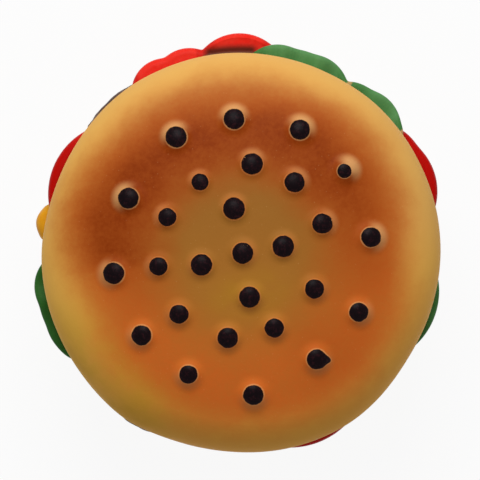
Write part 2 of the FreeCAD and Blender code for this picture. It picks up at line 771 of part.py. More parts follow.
# Circuit board hung from posts under the deck
board_cuts = [rod("hook_pass", d.spring_radius + d.spring_wire + 2 * d.fit_gap,
                  d.board_thickness, 0, hook_back, z_board)]
board_fixings = []
for across in (-1, 1):
    for along in (-1, 1):
        x, y = board_post_across * across, d.board_post_along * along
        deck_adds.append(rod("board_post", d.board_post_radius, z_deck_under - z_board_top + d.weld,
                             x, y, z_board_top))
        deck_cuts.append(screw_hole("board_pilot", d.board_screw_length - d.board_thickness, x, y,
                                    z_board_top))
        board_cuts.append(screw_hole("board_pass", d.board_thickness, x, y, z_board))
        board_fixings.append(screw("board_screw", d.board_screw_length, x, y, z_board))
circuit_board = trimmed("circuit_board", rod("board_disc", board_radius, d.board_thickness, z=z_board),
                        *board_cuts)
board_screws = group("board_screws", *board_fixings)
dialling_chip = block("dialling_chip", d.chip_length, d.chip_width, d.chip_height, -d.chip_left,
                      -d.chip_front, z_board - d.chip_height)
capacitors = []
for step in range(3):
    capacitors.append(rod("capacitor", d.capacitor_radius, d.capacitor_height,
                          d.capacitor_step * step - d.capacitor_left, d.capacitor_back,
                          z_board - d.capacitor_height))
line_capacitors = group("line_capacitors", *capacitors)
line_transformer = block("line_transformer", d.transformer_length, d.transformer_width,
                         d.transformer_height, d.transformer_right, d.transformer_back,
                         z_board - d.transformer_height)

# Microphone behind its holes in the deck, in a rubber boot on the board
boot_radius = d.mic_radius + d.seat_gap + d.mic_boot_wall
boot_height = z_deck_under - z_board_top
microphone_boot = trimmed("microphone_boot",
                          rod("boot_rod", boot_radius, boot_height, 0, -mic_down, z_board_top),
                          rod("boot_bore", d.mic_radius + d.seat_gap, boot_height, 0, -mic_down,
                              z_board_top))
microphone_capsule = rod("microphone_capsule", d.mic_radius, d.mic_height, 0, -mic_down, z_board_top)
for step in (-1, 0, 1):
    deck_cuts.append(rod("mic_opening", d.mic_hole, d.deck_thickness + 2 * d.cut_past,
                         d.mic_hole_step * step, -mic_down, z_deck_under - d.cut_past))

# Hook switch: the lid holds its plunger down
z_hook_flange_top = z_deck_under - d.fit_gap - d.hook_travel
z_hook_flange = z_hook_flange_top - d.hook_flange_thickness
z_hook_top = z_ear_floor - d.fit_gap
z_hook_box = z_board - d.hook_box_height
z_hook_tail = z_hook_box - d.hook_stem_tail
hook_plunger = turned("hook_plunger", [
    (0, z_hook_tail), (d.hook_stem, z_hook_tail), (d.hook_stem, z_hook_flange),
    (d.hook_flange, z_hook_flange), (d.hook_flange, z_hook_flange_top),
    (d.hook_radius, z_hook_flange_top), (d.hook_radius, z_hook_top - d.key_edge),
    (d.hook_radius - d.key_edge, z_hook_top, d.key_edge), (0, z_hook_top)], y=hook_back)
deck_cuts.append(rod("hook_opening", d.hook_radius + d.fit_gap, d.deck_thickness + 2 * d.cut_past,
                     0, hook_back, z_deck_under - d.cut_past))
spring_outer = d.spring_radius + d.spring_wire
spring_floor = z_hook_box + d.hook_box_floor
hook_switch_body = trimmed(
    "hook_switch_body",
    block("hook_box", d.hook_box_width, d.hook_box_depth, d.hook_box_height, 0, hook_back, z_hook_box),
    rod("hook_well", spring_outer + 2 * d.fit_gap, d.hook_box_height, 0, hook_back, spring_floor),
    rod("hook_bore", d.hook_stem + d.fit_gap, d.hook_box_height, 0, hook_back,
        z_hook_box - d.cut_past))
spring_height = z_hook_flange - spring_floor - 2 * d.spring_wire - 2 * d.seat_gap
coil_line = doc.addObject("Part::Helix", "coil_line")
bind(coil_line, "Pitch", spring_height / d.spring_turns)
bind(coil_line, "Height", spring_height)
bind(coil_line, "Radius", d.spring_radius)
coil_line.SegmentLength = COIL_STRETCH
coil_ring = doc.addObject("Part::Circle", "coil_ring")
bind(coil_ring, "Radius", d.spring_wire)
place(coil_ring, d.spring_radius, 0, 0, (1, 0, 0), 90)
hook_spring = doc.addObject("Part::Sweep", "hook_spring")
hook_spring.Sections = [coil_ring]
hook_spring.Spine = (coil_line, [])
hook_spring.Solid = True
hook_spring.Frenet = True
place(hook_spring, 0, hook_back, spring_floor + d.spring_wire + d.seat_gap)

# Base screws run up through posts of the lower bun into stems of the patty
z_post_top = z_base + d.post_height
z_post_ledge = z_post_top - d.post_ledge
posts = []
bun_cuts = []
base_fixings = []
for angle in SCREW_ANGLES:
    x, y = around(post_ring, angle)
    deck_adds.append(rod("stem_boss", d.stem_boss_radius, z_deck_under - z_post_top + d.weld, x, y,
                         z_post_top))
    deck_cuts.append(screw_hole("stem_pilot", d.base_screw_length - d.post_ledge + d.fit_gap, x, y,
                                z_post_top))
    posts.append(rod("base_post", d.post_radius, d.post_height - d.shell_wall, x, y,
                     z_base + d.shell_wall))
    bun_cuts.append(rod("head_well", d.screw_head + d.fit_gap, z_post_ledge - z_base + d.cut_past, x, y,
                        z_base - d.cut_past))
    bun_cuts.append(screw_hole("post_hole", d.post_ledge + d.cut_past, x, y, z_post_ledge - d.seat_gap))
    base_fixings.append(screw("base_screw", d.base_screw_length, x, y, z_post_ledge))
base_screws = group("base_screws", *base_fixings)
patty_deck = trimmed("patty_deck", joined("patty_body", patty_disc, *deck_adds), *deck_cuts)

# Cheese slice on the patty, with two corners that hang over the edge
drape_x, drape_y = around(d.cheese_shift, CHEESE_CORNERS[0])
drape_radius = patty_radius + d.cheese_shift + d.cheese_thickness + d.fit_gap + d.seat_gap
flap_bottom = z_cheese - d.cheese_flap
diagonal = round(math.sqrt(2), 9)
cheese_open = d.dish_radius + d.ear_wall
half_side = larger(cheese_open + d.cheese_land, (drape_radius + d.cheese_corner) / diagonal)
cheese_side = 2 * half_side
square = doc.addObject("Part::Box", "cheese_square")
bind(square, "Length", cheese_side)
bind(square, "Width", cheese_side)
bind(square, "Height", d.cheese_thickness)
corner_reach = half_side * diagonal
place(square, *around(corner_reach, CHEESE_TURN + 225), z_deck, (0, 0, 1), CHEESE_TURN)
slice_limit = rod("slice_limit", drape_radius, d.cheese_thickness, drape_x, drape_y, z_deck)
drape = trimmed("cheese_drape",
                rod("drape_outer", drape_radius, d.cheese_flap, drape_x, drape_y, flap_bottom),
                rod("drape_inner", drape_radius - d.cheese_thickness, d.cheese_flap, drape_x, drape_y,
                    flap_bottom))
points = []
for angle in CHEESE_CORNERS:
    tip = doc.addObject("Part::Box", "flap_tip")
    bind(tip, "Length", d.cheese_flap * diagonal)
    bind(tip, "Width", d.cheese_flap * diagonal)
    bind(tip, "Height", drape_radius + d.cheese_shift + d.cut_past)
    turn = FreeCAD.Rotation(FreeCAD.Vector(0, 0, 1), angle)
    turn = turn.multiply(FreeCAD.Rotation(FreeCAD.Vector(0, 1, 0), 90))
    turn = turn.multiply(FreeCAD.Rotation(FreeCAD.Vector(0, 0, 1), 45))
    place(tip, 0, 0, z_cheese, turn.Axis, math.degrees(turn.Angle))
    shift = turn.multVec(FreeCAD.Vector(1, 1, 0)) * math.sqrt(0.5)
    bind(tip, "Placement.Base.x", d.cheese_flap * round(-shift.x, 9))
    bind(tip, "Placement.Base.y", d.cheese_flap * round(-shift.y, 9))
    bind(tip, "Placement.Base.z", z_cheese + d.cheese_flap * round(-shift.z, 9))
    points.append(tip)
flaps = shared("cheese_flaps", drape, joined("flap_tips", *points))
trim_depth = cheese_side
trim_y = patty_radius - d.cheese_trim + trim_depth / 2
cheese_cuts = [rod("cheese_hole", cheese_open, d.cheese_thickness, z=z_deck)]
for side in (-1, 1):
    cheese_cuts.append(block("cheese_trim", cheese_side, trim_depth, d.cheese_thickness, 0,
                             trim_y * side, z_deck))
cheese_slice = joined("cheese_slice",
                      trimmed("slice_flat", shared("slice_round", square, slice_limit), *cheese_cuts), flaps)

# Lower bun: a bowl with screw posts, sound holes, a shelf for the line jack and two switch slots
z_side = z_base + d.base_corner
bun_bowl = turned("bun_bowl", [
    (0, z_base), (base_flat, z_base), (lower_radius, z_side, d.base_corner),
    (side_line(size(0)), z_joint, d.side_radius), (side_line(d.shell_wall), z_joint),
    (lower_radius - d.shell_wall, z_side, d.shell_wall - d.side_radius),
    (base_flat, z_base + d.shell_wall, d.shell_wall - d.base_corner), (0, z_base + d.shell_wall)])
jack_front = jack_back - d.jack_depth
jack_mid = jack_back - d.jack_depth / 2
z_jack = z_base + d.jack_lift
z_floor = z_base + d.shell_wall
shelf_depth = d.jack_depth - d.shell_wall * 2
shelf_height = z_jack - d.seat_gap - z_floor + d.weld
shelf = block("jack_shelf", d.jack_width, shelf_depth, shelf_height, 0, jack_front + shelf_depth / 2,
              z_floor - d.weld)
bun_cuts.append(block("jack_window", d.jack_width + 2 * d.seat_gap, d.jack_depth,
                      d.jack_height + 2 * d.seat_gap, 0, jack_back, z_jack - d.seat_gap))


def ring(name, inner, outer, height, z):
    return trimmed(name, rod(name + "_disc", outer, height, z=z), rod(name + "_bore", inner, height, z=z))


bun_cuts.append(ring("foot_groove_ring", foot_inner - d.seat_gap, foot_outer + d.seat_gap,
                     d.foot_groove + d.cut_past, z_base - d.cut_past))
foot_ring = ring("foot_ring", foot_inner, foot_outer, z_base + d.foot_groove, size(0))
for index in range(7):
    x, y = around(d.ringer_hole_ring if index else 0, 60 * index)
    bun_cuts.append(rod("sound_hole", d.ringer_hole, d.shell_wall + 2 * d.cut_past, x, y,
                        z_base - d.cut_past))

# Ringer: a cup over the sound holes with its disc on a step
z_step = z_floor + d.disc_lift + d.disc_thickness
cup_inner = d.ringer_radius - d.ringer_wall
ringer_top = z_floor + d.ringer_height
ringer_case = turned("ringer_case", [
    (cup_inner, z_floor), (d.ringer_radius, z_floor), (d.ringer_radius, ringer_top), (0, ringer_top),
    (0, ringer_top - d.ringer_wall), (cup_inner - d.ringer_step, ringer_top - d.ringer_wall),
    (cup_inner - d.ringer_step, z_step), (cup_inner, z_step)])
ringer_disc = rod("ringer_disc", cup_inner - d.seat_gap, d.disc_thickness, z=z_floor + d.disc_lift)

# Line jack in the back of the base, with four sprung contacts
z_socket = z_jack + d.socket_floor
jack_block = block("jack_block", d.jack_width, d.jack_depth, d.jack_height, 0, jack_mid, z_jack)
modular_jack = trimmed(
    "modular_jack", jack_block,
    block("socket", d.socket_width, d.socket_depth, d.socket_height, 0,
          jack_back - d.socket_depth / 2, z_socket),
    block("latch", d.latch_width, d.socket_depth, d.latch_drop + d.weld, 0,
          jack_back - d.socket_depth / 2, z_socket - d.latch_drop))
contacts = []
for index in range(4):
    contacts.append(rod("contact", d.contact_radius, d.contact_length, d.contact_step * (index - 1.5),
                        jack_back - d.socket_depth, z_socket + d.socket_height - d.contact_hang, "y"))
jack_contacts = group("jack_contacts", *contacts)

# Slide switches under the base
z_knob_low = z_base + d.switch_recess - d.knob_out
switch_knobs = []
switch_bodies = []
z_switch = z_floor
z_knob_flange = z_switch + d.fit_gap
for name, side in (("ringer_switch", -1), ("tone_switch", 1)):
    x, y = switch_across * side, -d.switch_front
    bun_cuts.append(slab(name + "_recess", d.switch_length, d.switch_width, d.key_edge,
                         d.switch_recess + d.cut_past, x, y, z_base - d.cut_past))
    bun_cuts.append(block(name + "_slot", d.knob_length + d.knob_travel + 2 * d.fit_gap,
                          d.slot_width, d.shell_wall + d.cut_past, x, y, z_base))
    case = block(name + "_case", d.switch_length, d.switch_width, d.switch_height, x, y, z_switch)
    room_width = d.knob_length + d.knob_travel + 2 * (d.knob_flange + d.fit_gap)
    room = block(name + "_room", room_width, d.slot_width + 2 * d.knob_flange,
                 2 * d.fit_gap + d.knob_flange_thickness, x, y, z_switch)
    switch_bodies.append(trimmed(name + "_body", case, room))
    knob_x = x - d.knob_travel / 2
    stem = block(name + "_stem", d.knob_length, d.slot_width - 2 * d.fit_gap,
                 z_knob_flange - z_knob_low + d.weld, knob_x, y, z_knob_low)
    flange = block(name + "_flange", d.knob_length + 2 * d.knob_flange,
                   d.slot_width + 2 * d.knob_flange - 2 * d.fit_gap, d.knob_flange_thickness, knob_x, y,
                   z_knob_flange)
    switch_knobs.append(joined(name + "_knob", stem, flange))
lower_bun_shell = trimmed("lower_bun_shell", joined("bun_bowl_posts", bun_bowl, shelf, *posts), *bun_cuts)

doc.recompute()

pieces = [upper_bun_shell, lettuce_layer, tomato_layer, ear_plate, ear_plate_screws, speaker_gasket,
          speaker_basket, speaker_cone, speaker_magnet, speaker_clamp, speaker_screws, lid_hinge_bracket,
          bracket_screws, hinge_pin, patty_deck, cheese_slice, lower_bun_shell, foot_ring, base_screws,
          circuit_board, board_screws, key_membrane, dialling_chip, line_capacitors, line_transformer,
          microphone_boot, microphone_capsule, hook_switch_body, hook_spring, hook_plunger, ringer_case,
          ringer_disc, modular_jack, jack_contacts]
pieces += switch_bodies + switch_knobs + [body for body, cap in keys]

# Nothing is written unless every object built and every piece is sound
for item in doc.Objects:
    if "Invalid" in item.State or "Error" in item.State:
        raise RuntimeError("%s did not build" % item.Label)
for piece in pieces:
    if piece.Shape.isNull() or not piece.Shape.isValid():
        raise RuntimeError("%s has no sound shape" % piece.Label)

os.makedirs("parts", exist_ok=True)
for piece in pieces:
    piece.Shape.exportStep("parts/%s.step" % piece.Label)
    box = piece.Shape.BoundBox
    print("%-20s solids %d  x %.1f..%.1f  y %.1f..%.1f  z %.1f..%.1f" % (
        piece.Label, len(piece.Shape.Solids), box.XMin, box.XMax, box.YMin, box.YMax, box.ZMin, box.ZMax))
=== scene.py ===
import math
import bpy
import bmesh
import numpy as np
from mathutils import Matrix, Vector


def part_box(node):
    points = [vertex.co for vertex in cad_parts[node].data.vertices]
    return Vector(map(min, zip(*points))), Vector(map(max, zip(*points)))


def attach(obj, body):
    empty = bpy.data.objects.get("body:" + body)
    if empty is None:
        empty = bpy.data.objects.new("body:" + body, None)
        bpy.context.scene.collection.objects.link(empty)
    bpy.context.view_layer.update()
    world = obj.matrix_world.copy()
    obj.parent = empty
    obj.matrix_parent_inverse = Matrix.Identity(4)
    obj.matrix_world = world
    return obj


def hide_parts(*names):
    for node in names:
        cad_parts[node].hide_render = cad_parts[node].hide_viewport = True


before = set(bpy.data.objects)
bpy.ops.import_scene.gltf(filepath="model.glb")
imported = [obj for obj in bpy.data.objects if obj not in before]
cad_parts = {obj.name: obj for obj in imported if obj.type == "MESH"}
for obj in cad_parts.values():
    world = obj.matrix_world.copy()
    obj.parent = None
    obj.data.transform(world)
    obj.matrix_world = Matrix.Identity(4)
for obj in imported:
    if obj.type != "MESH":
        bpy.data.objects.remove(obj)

mm = 0.001
scene = bpy.context.scene
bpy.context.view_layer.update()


# colours are given as seen on screen, 0 to 255
def paint(red, green, blue):  # made linear
    def linear(part):
        part = part / 255
        return part / 12.92 if part <= 0.04045 else ((part + 0.055) / 1.055) ** 2.4
    return (linear(red), linear(green), linear(blue), 1.0)


class Bench:  # lays nodes in one tree, for shaders and geometry alike
    def __init__(self, tree):
        self.tree = tree

    def add(self, kind, **traits):
        node = self.tree.nodes.new(kind)
        for trait, value in traits.items():
            setattr(node, trait, value)
        return node

    def put(self, socket, value):
        if isinstance(value, bpy.types.NodeSocket):
            self.tree.links.new(value, socket)
        elif value is not None:
            socket.default_value = value

    def putAll(self, node, **values):
        for name, value in values.items():
            self.put(node.inputs[name], value)

    def calc(self, how, first, second=None, third=None, clamp=False):
        node = self.add("ShaderNodeMath", operation=how, use_clamp=clamp)
        for socket, value in zip(node.inputs, (first, second, third)):
            self.put(socket, value)
        return node.outputs[0]

    def times(self, first, *others):
        for other in others:
            first = self.calc("MULTIPLY", first, other)
        return first

    def scaled(self, value, factor, start):  # value times factor, plus start
        return self.calc("MULTIPLY_ADD", value, factor, start)

    def vec(self, how, first, second=None, output="Vector"):
        node = self.add("ShaderNodeVectorMath", operation=how)
        self.put(node.inputs[0], first)
        self.put(node.inputs["Scale" if how == "SCALE" else 1], second)
        return node.outputs[output]

    def step(self, value, low, high, toLow=0.0, toHigh=1.0):  # soft change from one value to another
        node = self.add("ShaderNodeMapRange", interpolation_type="SMOOTHSTEP", clamp=True)
        for socket, amount in zip(node.inputs[:5], (value, low, high, toLow, toHigh)):
            self.put(socket, amount)
        return node.outputs[0]

    def band(self, value, low, high, soft):  # 1 between low and high
        rise = self.step(value, low - soft, low + soft)
        return self.times(rise, self.step(value, high - soft, high + soft, 1.0, 0.0))

    def cloud(self, vector, scale, detail, rough, distort=0.0):
        node = self.add("ShaderNodeTexNoise")
        self.putAll(node, Vector=vector, Scale=scale, Detail=detail, Roughness=rough, Distortion=distort)
        return node.outputs[0]

    def cells(self, vector, scale, feature="F1", **values):
        node = self.add("ShaderNodeTexVoronoi", feature=feature)
        self.putAll(node, Vector=vector, Scale=scale, **values)
        return node.outputs["Distance"]

    def here(self):
        return self.add("ShaderNodeTexCoord").outputs["Object"]

    def named(self, name):
        return self.add("ShaderNodeAttribute", attribute_name=name).outputs["Fac"]

    def use(self, shared, output, **values):
        node = self.add("ShaderNodeGroup", node_tree=shared)
        self.putAll(node, **values)
        return node.outputs[output]

    def parts(self, vector):
        node = self.add("ShaderNodeSeparateXYZ")
        self.put(node.inputs[0], vector)
        return node.outputs

    def joined(self, *values):
        node = self.add("ShaderNodeCombineXYZ")
        for socket, value in zip(node.inputs, values):
            self.put(socket, value)
        return node.outputs[0]

    def polar(self, vector):  # radius in metres, angle in degrees from -180 to 180
        x, y, z = self.parts(vector)
        radius = self.calc("SQRT", self.calc("ADD", self.times(x, x), self.times(y, y)))
        return radius, self.calc("DEGREES", self.calc("ARCTAN2", y, x))

    def sector(self, angle, middle, near, far, toNear, toFar):  # changes with the turn away from a middle
        apart = self.calc("WRAP", self.calc("SUBTRACT", angle, middle), 180.0, -180.0)
        return self.step(self.calc("ABSOLUTE", apart), near, far, toNear, toFar)


def newTree(name, kind, inputs, output):  # a node group, its bench, what it is given and what it makes
    tree = bpy.data.node_groups.new(name, kind + "NodeTree")
    for label, value in inputs.items():  # a number is a usual value, a word another kind of socket
        number = isinstance(value, float)
        socket = tree.interface.new_socket(label, in_out="INPUT",
                                           socket_type="NodeSocket" + ("Float" if number else value))
        if number:
            socket.default_value = value
    made = "Float" if kind == "Shader" else "Geometry"
    tree.interface.new_socket(output, in_out="OUTPUT", socket_type="NodeSocket" + made)
    bench = Bench(tree)
    return tree, bench, bench.add("NodeGroupInput").outputs, bench.add("NodeGroupOutput").inputs[output]


def makeSprayMottle():  # uneven sprayed paint: slow clouds with finer blotches in them
    group, bench, given, made = newTree("sprayMottle", "Shader", {"Scale": 60.0, "Blotch": 0.35}, "Mask")
    finer = 6.3
    spot = bench.here()
    slow = bench.cloud(spot, given["Scale"], 3.0, 0.55, 0.3)
    fast = bench.cloud(spot, bench.times(given["Scale"], finer), 4.0, 0.6)
    mixed = bench.calc("ADD", bench.times(slow, bench.calc("SUBTRACT", 1.0, given["Blotch"])),
                       bench.times(fast, given["Blotch"]))
    bench.put(made, bench.step(mixed, 0.30, 0.70))
    return group


def makeCastGrain():  # the fine skin of moulded vinyl or plastic, with a few pin holes
    group, bench, given, made = newTree("castGrain", "Shader", {"Scale": 900.0, "Pits": 0.3}, "Height")
    wider, pitScale, fineShare = 0.16, 0.42, 0.4
    spot = bench.here()
    fine = bench.cloud(spot, given["Scale"], 2.0, 0.6)
    wide = bench.cloud(spot, bench.times(given["Scale"], wider), 2.0, 0.5)
    near = bench.cells(spot, bench.times(given["Scale"], pitScale))
    pit = bench.times(bench.step(near, 0.05, 0.16, 1.0, 0.0), given["Pits"])
    rise = bench.calc("ADD", bench.times(fine, fineShare), bench.times(wide, 1.0 - fineShare))
    bench.put(made, bench.calc("SUBTRACT", rise, pit))
    return group


def makeSettledDust():  # pale dust and handling marks on what faces up
    group, bench, given, made = newTree("settledDust", "Shader", {"Scale": 240.0, "Amount": 0.3}, "Mask")
    upward = bench.parts(bench.add("ShaderNodeNewGeometry").outputs["Normal"])[2]
    cover = bench.step(upward, 0.2, 0.95)
    patch = bench.step(bench.cloud(bench.here(), given["Scale"], 5.0, 0.65), 0.48, 0.72)
    bench.put(made, bench.times(cover, patch, given["Amount"]))
    return group


sprayMottle = makeSprayMottle()
castGrain = makeCastGrain()
settledDust = makeSettledDust()


class Coat(Bench):  # one material; its look gives gloss as (spread, least) and relief as (depth, strength)
    traits = {"specular": "Specular IOR Level", "metallic": "Metallic", "rough": "Roughness"}

    def __init__(self, name, look):
        self.mat = bpy.data.materials.new(name)
        self.mat.use_nodes = True
        super().__init__(self.mat.node_tree)
        self.tree.nodes.clear()
        self.look = look
        self.skin = self.add("ShaderNodeBsdfPrincipled")
        for trait, label in self.traits.items():
            self.put(self.skin.inputs[label], look.get(trait))
        self.out = self.add("ShaderNodeOutputMaterial")
        self.put(self.out.inputs["Surface"], self.skin.outputs[0])

    def mottle(self, kind="mottle"):
        scale, blotch = self.look[kind]
        return self.use(sprayMottle, "Mask", Scale=scale, Blotch=blotch)

    def gloss(self, mottle):
        return self.scaled(mottle, *self.look["gloss"])

    def grain(self):
        scale, pits = self.look["grain"]
        return self.use(castGrain, "Height", Scale=scale, Pits=pits)

    def blend(self, share, first, second):  # a colour is a name in the look, three parts or a socket
        node = self.add("ShaderNodeMix", data_type="RGBA")
        self.put(node.inputs[0], share)
        for place, colour in ((6, first), (7, second)):
            colour = self.look[colour] if isinstance(colour, str) else colour
            self.put(node.inputs[place], paint(*colour) if isinstance(colour, tuple) else colour)
        return node.outputs[2]

    def layered(self, tone, *layers):  # coats of paint over a tone, each given as share and colour
        for share, colour in layers:
            tone = self.blend(share, tone, colour)
        return tone

    def finish(self, tone, gloss, height):
        depth, strength = self.look["relief"]
        bump = self.add("ShaderNodeBump")
        self.putAll(bump, Strength=strength, Distance=depth, Height=height)
        for label, value in (("Base Color", tone), ("Roughness", gloss), ("Normal", bump.outputs[0])):
            self.put(self.skin.inputs[label], value)
        return self.mat


bunPaint = {
    "cream": (230, 176, 91), "creamFront": (234, 171, 72), "creamLit": (252, 200, 90),  # rim
    "tan": (161, 105, 40), "tanFront": (187, 121, 46),  # middle
    "orange": (226, 108, 38), "rust": (142, 55, 5),  # two coats of spray
    # glow is a painted highlight: the lit flank of the inner seeds
    "ochre": (192, 146, 32), "pale": (240, 184, 118), "glow": (226, 136, 74),
    "seed": (14, 4, 8), "seedWorn": (58, 24, 30),
}
bunLook = {**bunPaint, "specular": 0.06, "mottle": (38.0, 0.25), "blotch": (120.0, 0.5),
           "gloss": (0.10, 0.50), "grain": (820.0, 0.22), "relief": (0.00013, 0.7), "speck": 520.0}
bunSpray = {
    "wobble": 3.5, "toBack": (-34.0, 20.0), "cream": (43.0, 64.0), "orangeIn": (17.0, 42.0),
    "orangeOut": (46.0, 66.0), "rustIn": (15.0, 40.0), "rustOut": (40.0, 62.0), "orangeShare": 0.82,
    "even": (0.26, 0.79),
    # where the spray reached further out or stopped short: angle, half width, change in mm
    "drift": ((160.0, 36.0, -3.2), (308.0, 38.0, -2.6), (203.0, 20.0, 2.2), (8.0, 28.0, 1.6)),
    # where the rim is paler: angle, half width, share; and how much of the width is palest
    "lit": ((184.0, 64.0, 0.48), (334.0, 40.0, 0.34)), "litCore": 0.3,
    # rust is thinner on the right, thickest on the left and a veil at the lower right, and two patches
    # are ochre: middle angle, where the change starts and ends, share inside, share outside
    "right": (-8.0, 15.0, 60.0, 0.78, 1.0), "left": (166.0, 12.0, 36.0, 1.0, 0.0),
    "veil": (-36.0, 10.0, 40.0, 0.24, 0.0), "corner": (-135.0, 8.0, 40.0, 0.55, 0.0),
    "yolk": (-78.0, 20.0, 70.0, 0.35, 0.0), "cornerFrom": (44.0, 60.0),
    "yolkRing": (0.008, 0.021, 0.006),
    # the bare flank of a seed, partly a painted highlight: ring radii, shares on the inner and outer rings,
    # shares at front and back, higher at the back where the flanks face the lamp
    "outerRing": (24.0, 42.0), "bareAndLitFlank": (0.30, 0.36), "flankHighlightBack": (0.68, 0.32),
}
seedPaint = {"skirt": (0.52, 0.98), "side": (-0.35, 1.0), "foot": (1.02, 1.17), "footShare": 0.46,
             "edge": (0.96, 1.03), "ragged": (420.0, 0.20), "worn": 900.0, "chip": 1050.0, "smooth": 0.16,
             "thick": 0.6}


def makeBunVinyl():
    coat = Coat("bunVinyl", bunLook)
    spot = coat.here()
    radius, angle = coat.polar(spot)
    mottle = coat.mottle()
    blotch = coat.mottle("blotch")
    far = coat.scaled(coat.calc("SUBTRACT", mottle, 0.5), bunSpray["wobble"] * mm, radius)

    def between(value, zone, start=0.0, end=1.0):
        return coat.step(value, bunSpray[zone][0] * mm, bunSpray[zone][1] * mm, start, end)

    def sector(name):
        return coat.sector(angle, *bunSpray[name])

    edge = far
    for middle, wide, change in bunSpray["drift"]:
        edge = coat.calc("ADD", edge, coat.sector(angle, middle, 0.0, wide, change * mm, 0.0))
    toBack = between(coat.parts(spot)[1], "toBack")
    heart = coat.blend(toBack, "tanFront", "tan")
    rim = coat.blend(toBack, "creamFront", "cream")
    for middle, wide, share in bunSpray["lit"]:
        lit = coat.sector(angle, middle, bunSpray["litCore"] * wide, wide, share, 0.0)
        rim = coat.blend(lit, rim, "creamLit")
    even = coat.scaled(blotch, *bunSpray["even"])
    orange = coat.times(between(far, "orangeIn"), between(edge, "orangeOut", 1.0, 0.0), even,
                        bunSpray["orangeShare"])
    cover = coat.calc("MAXIMUM", toBack, coat.calc("MAXIMUM", sector("left"), sector("veil")))
    rust = coat.times(between(far, "rustIn"), between(edge, "rustOut", 1.0, 0.0), cover, even,
                      sector("right"))
    corner = coat.times(sector("corner"), between(radius, "cornerFrom"))
    yolk = coat.times(sector("yolk"), coat.band(radius, *bunSpray["yolkRing"]))
    ochre = coat.times(coat.calc("MAXIMUM", corner, yolk), mottle)
    speck = coat.times(coat.step(coat.cells(spot, bunLook["speck"]), 0.05, 0.13, 0.22, 0.0), blotch)
    # the spray missed the outward flank of each seed and thins to a pale ring at its foot; the flank also
    # gets a painted highlight, strongest at the back where it faces the lamp, in glow orange on the inner
    # rings
    reach = coat.named("seedReach")
    outer = between(radius, "outerRing")
    bareAndLitFlank = coat.times(coat.step(coat.named("seedSkirt"), *seedPaint["skirt"], 1.0, 0.0),
                       coat.step(coat.named("seedSide"), *seedPaint["side"]),
                       coat.scaled(outer, *bunSpray["bareAndLitFlank"]), coat.scaled(toBack, *bunSpray["flankHighlightBack"]))
    foot = coat.step(reach, *seedPaint["foot"], seedPaint["footShare"], 0.0)
    raggedScale, raggedShare = seedPaint["ragged"]
    ragged = coat.scaled(coat.cloud(spot, raggedScale, 3.0, 0.6), raggedShare, -raggedShare / 2)
    dot = coat.step(coat.calc("ADD", reach, ragged), *seedPaint["edge"], 1.0, 0.0)
    worn = coat.step(coat.cloud(spot, seedPaint["worn"], 3.0, 0.7), 0.46, 0.76, 0.0, 0.6)
    chip = coat.times(coat.step(coat.cells(spot, seedPaint["chip"]), 0.10, 0.16, 1.0, 0.0),
                      coat.step(coat.cloud(spot, 160.0, 2.0, 0.5), 0.62, 0.66))
    bare = coat.blend(outer, "glow", "pale")
    dark = coat.layered("seed", (worn, "seedWorn"), (chip, "pale"))
    tone = coat.layered(heart, (between(edge, "cream"), rim), (orange, "orange"), (rust, "rust"),
                        (ochre, "ochre"), (speck, "pale"), (coat.calc("MAXIMUM", bareAndLitFlank, foot), bare),
                        (dot, dark))
    gloss = coat.calc("SUBTRACT", coat.gloss(mottle), coat.times(dot, seedPaint["smooth"]))
    return coat.finish(tone, gloss, coat.calc("ADD", coat.grain(), coat.times(dot, seedPaint["thick"])))


lowerBunLook = {**bunPaint, "specular": 0.1, "mottle": (48.0, 0.35), "gloss": (0.10, 0.46),
                "grain": (820.0, 0.25), "relief": (0.00014, 0.7), "sides": (0.012, 0.020, 0.007),
                "sideShare": (0.5, 0.35), "under": (0.0015, 0.006, 0.8, 0.0), "speck": 520.0}


def makeLowerBunVinyl():
    coat = Coat("lowerBunVinyl", lowerBunLook)
    spot = coat.here()
    height = coat.parts(spot)[2]
    mottle = coat.mottle()
    sides = coat.times(coat.band(height, *lowerBunLook["sides"]),
                       coat.scaled(mottle, *lowerBunLook["sideShare"]))
    under = coat.step(height, *lowerBunLook["under"])
    speck = coat.step(coat.cells(spot, lowerBunLook["speck"]), 0.06, 0.16, 0.5, 0.0)
    tone = coat.layered("cream", (sides, "orange"), (under, "tan"), (coat.times(speck, mottle), "pale"))
    return coat.finish(tone, coat.gloss(mottle), coat.grain())


lettuceLook = {
    "green": (78, 136, 74), "fresh": (98, 150, 92), "deep": (42, 98, 32), "bare": (206, 160, 104),
    "specular": 0.08, "mottle": (110.0, 0.4), "gloss": (0.14, 0.40), "grain": (760.0, 0.2),
    "relief": (0.0002, 0.8), "freshShare": 0.4, "rimShare": 0.6, "streakShare": 0.13, "streakRise": 0.2,
    # painted shade away from the back, where the lamp is, and two gaps without paint: middle angle, start,
    # end, share inside, outside
    "side": (60.0, 50.0, 110.0, 0.0, 0.85), "wideGap": (36.3, 0.9, 1.5, 1.0, 0.0),
    "thinGap": (57.5, 0.3, 0.9, 0.7, 0.0),
}


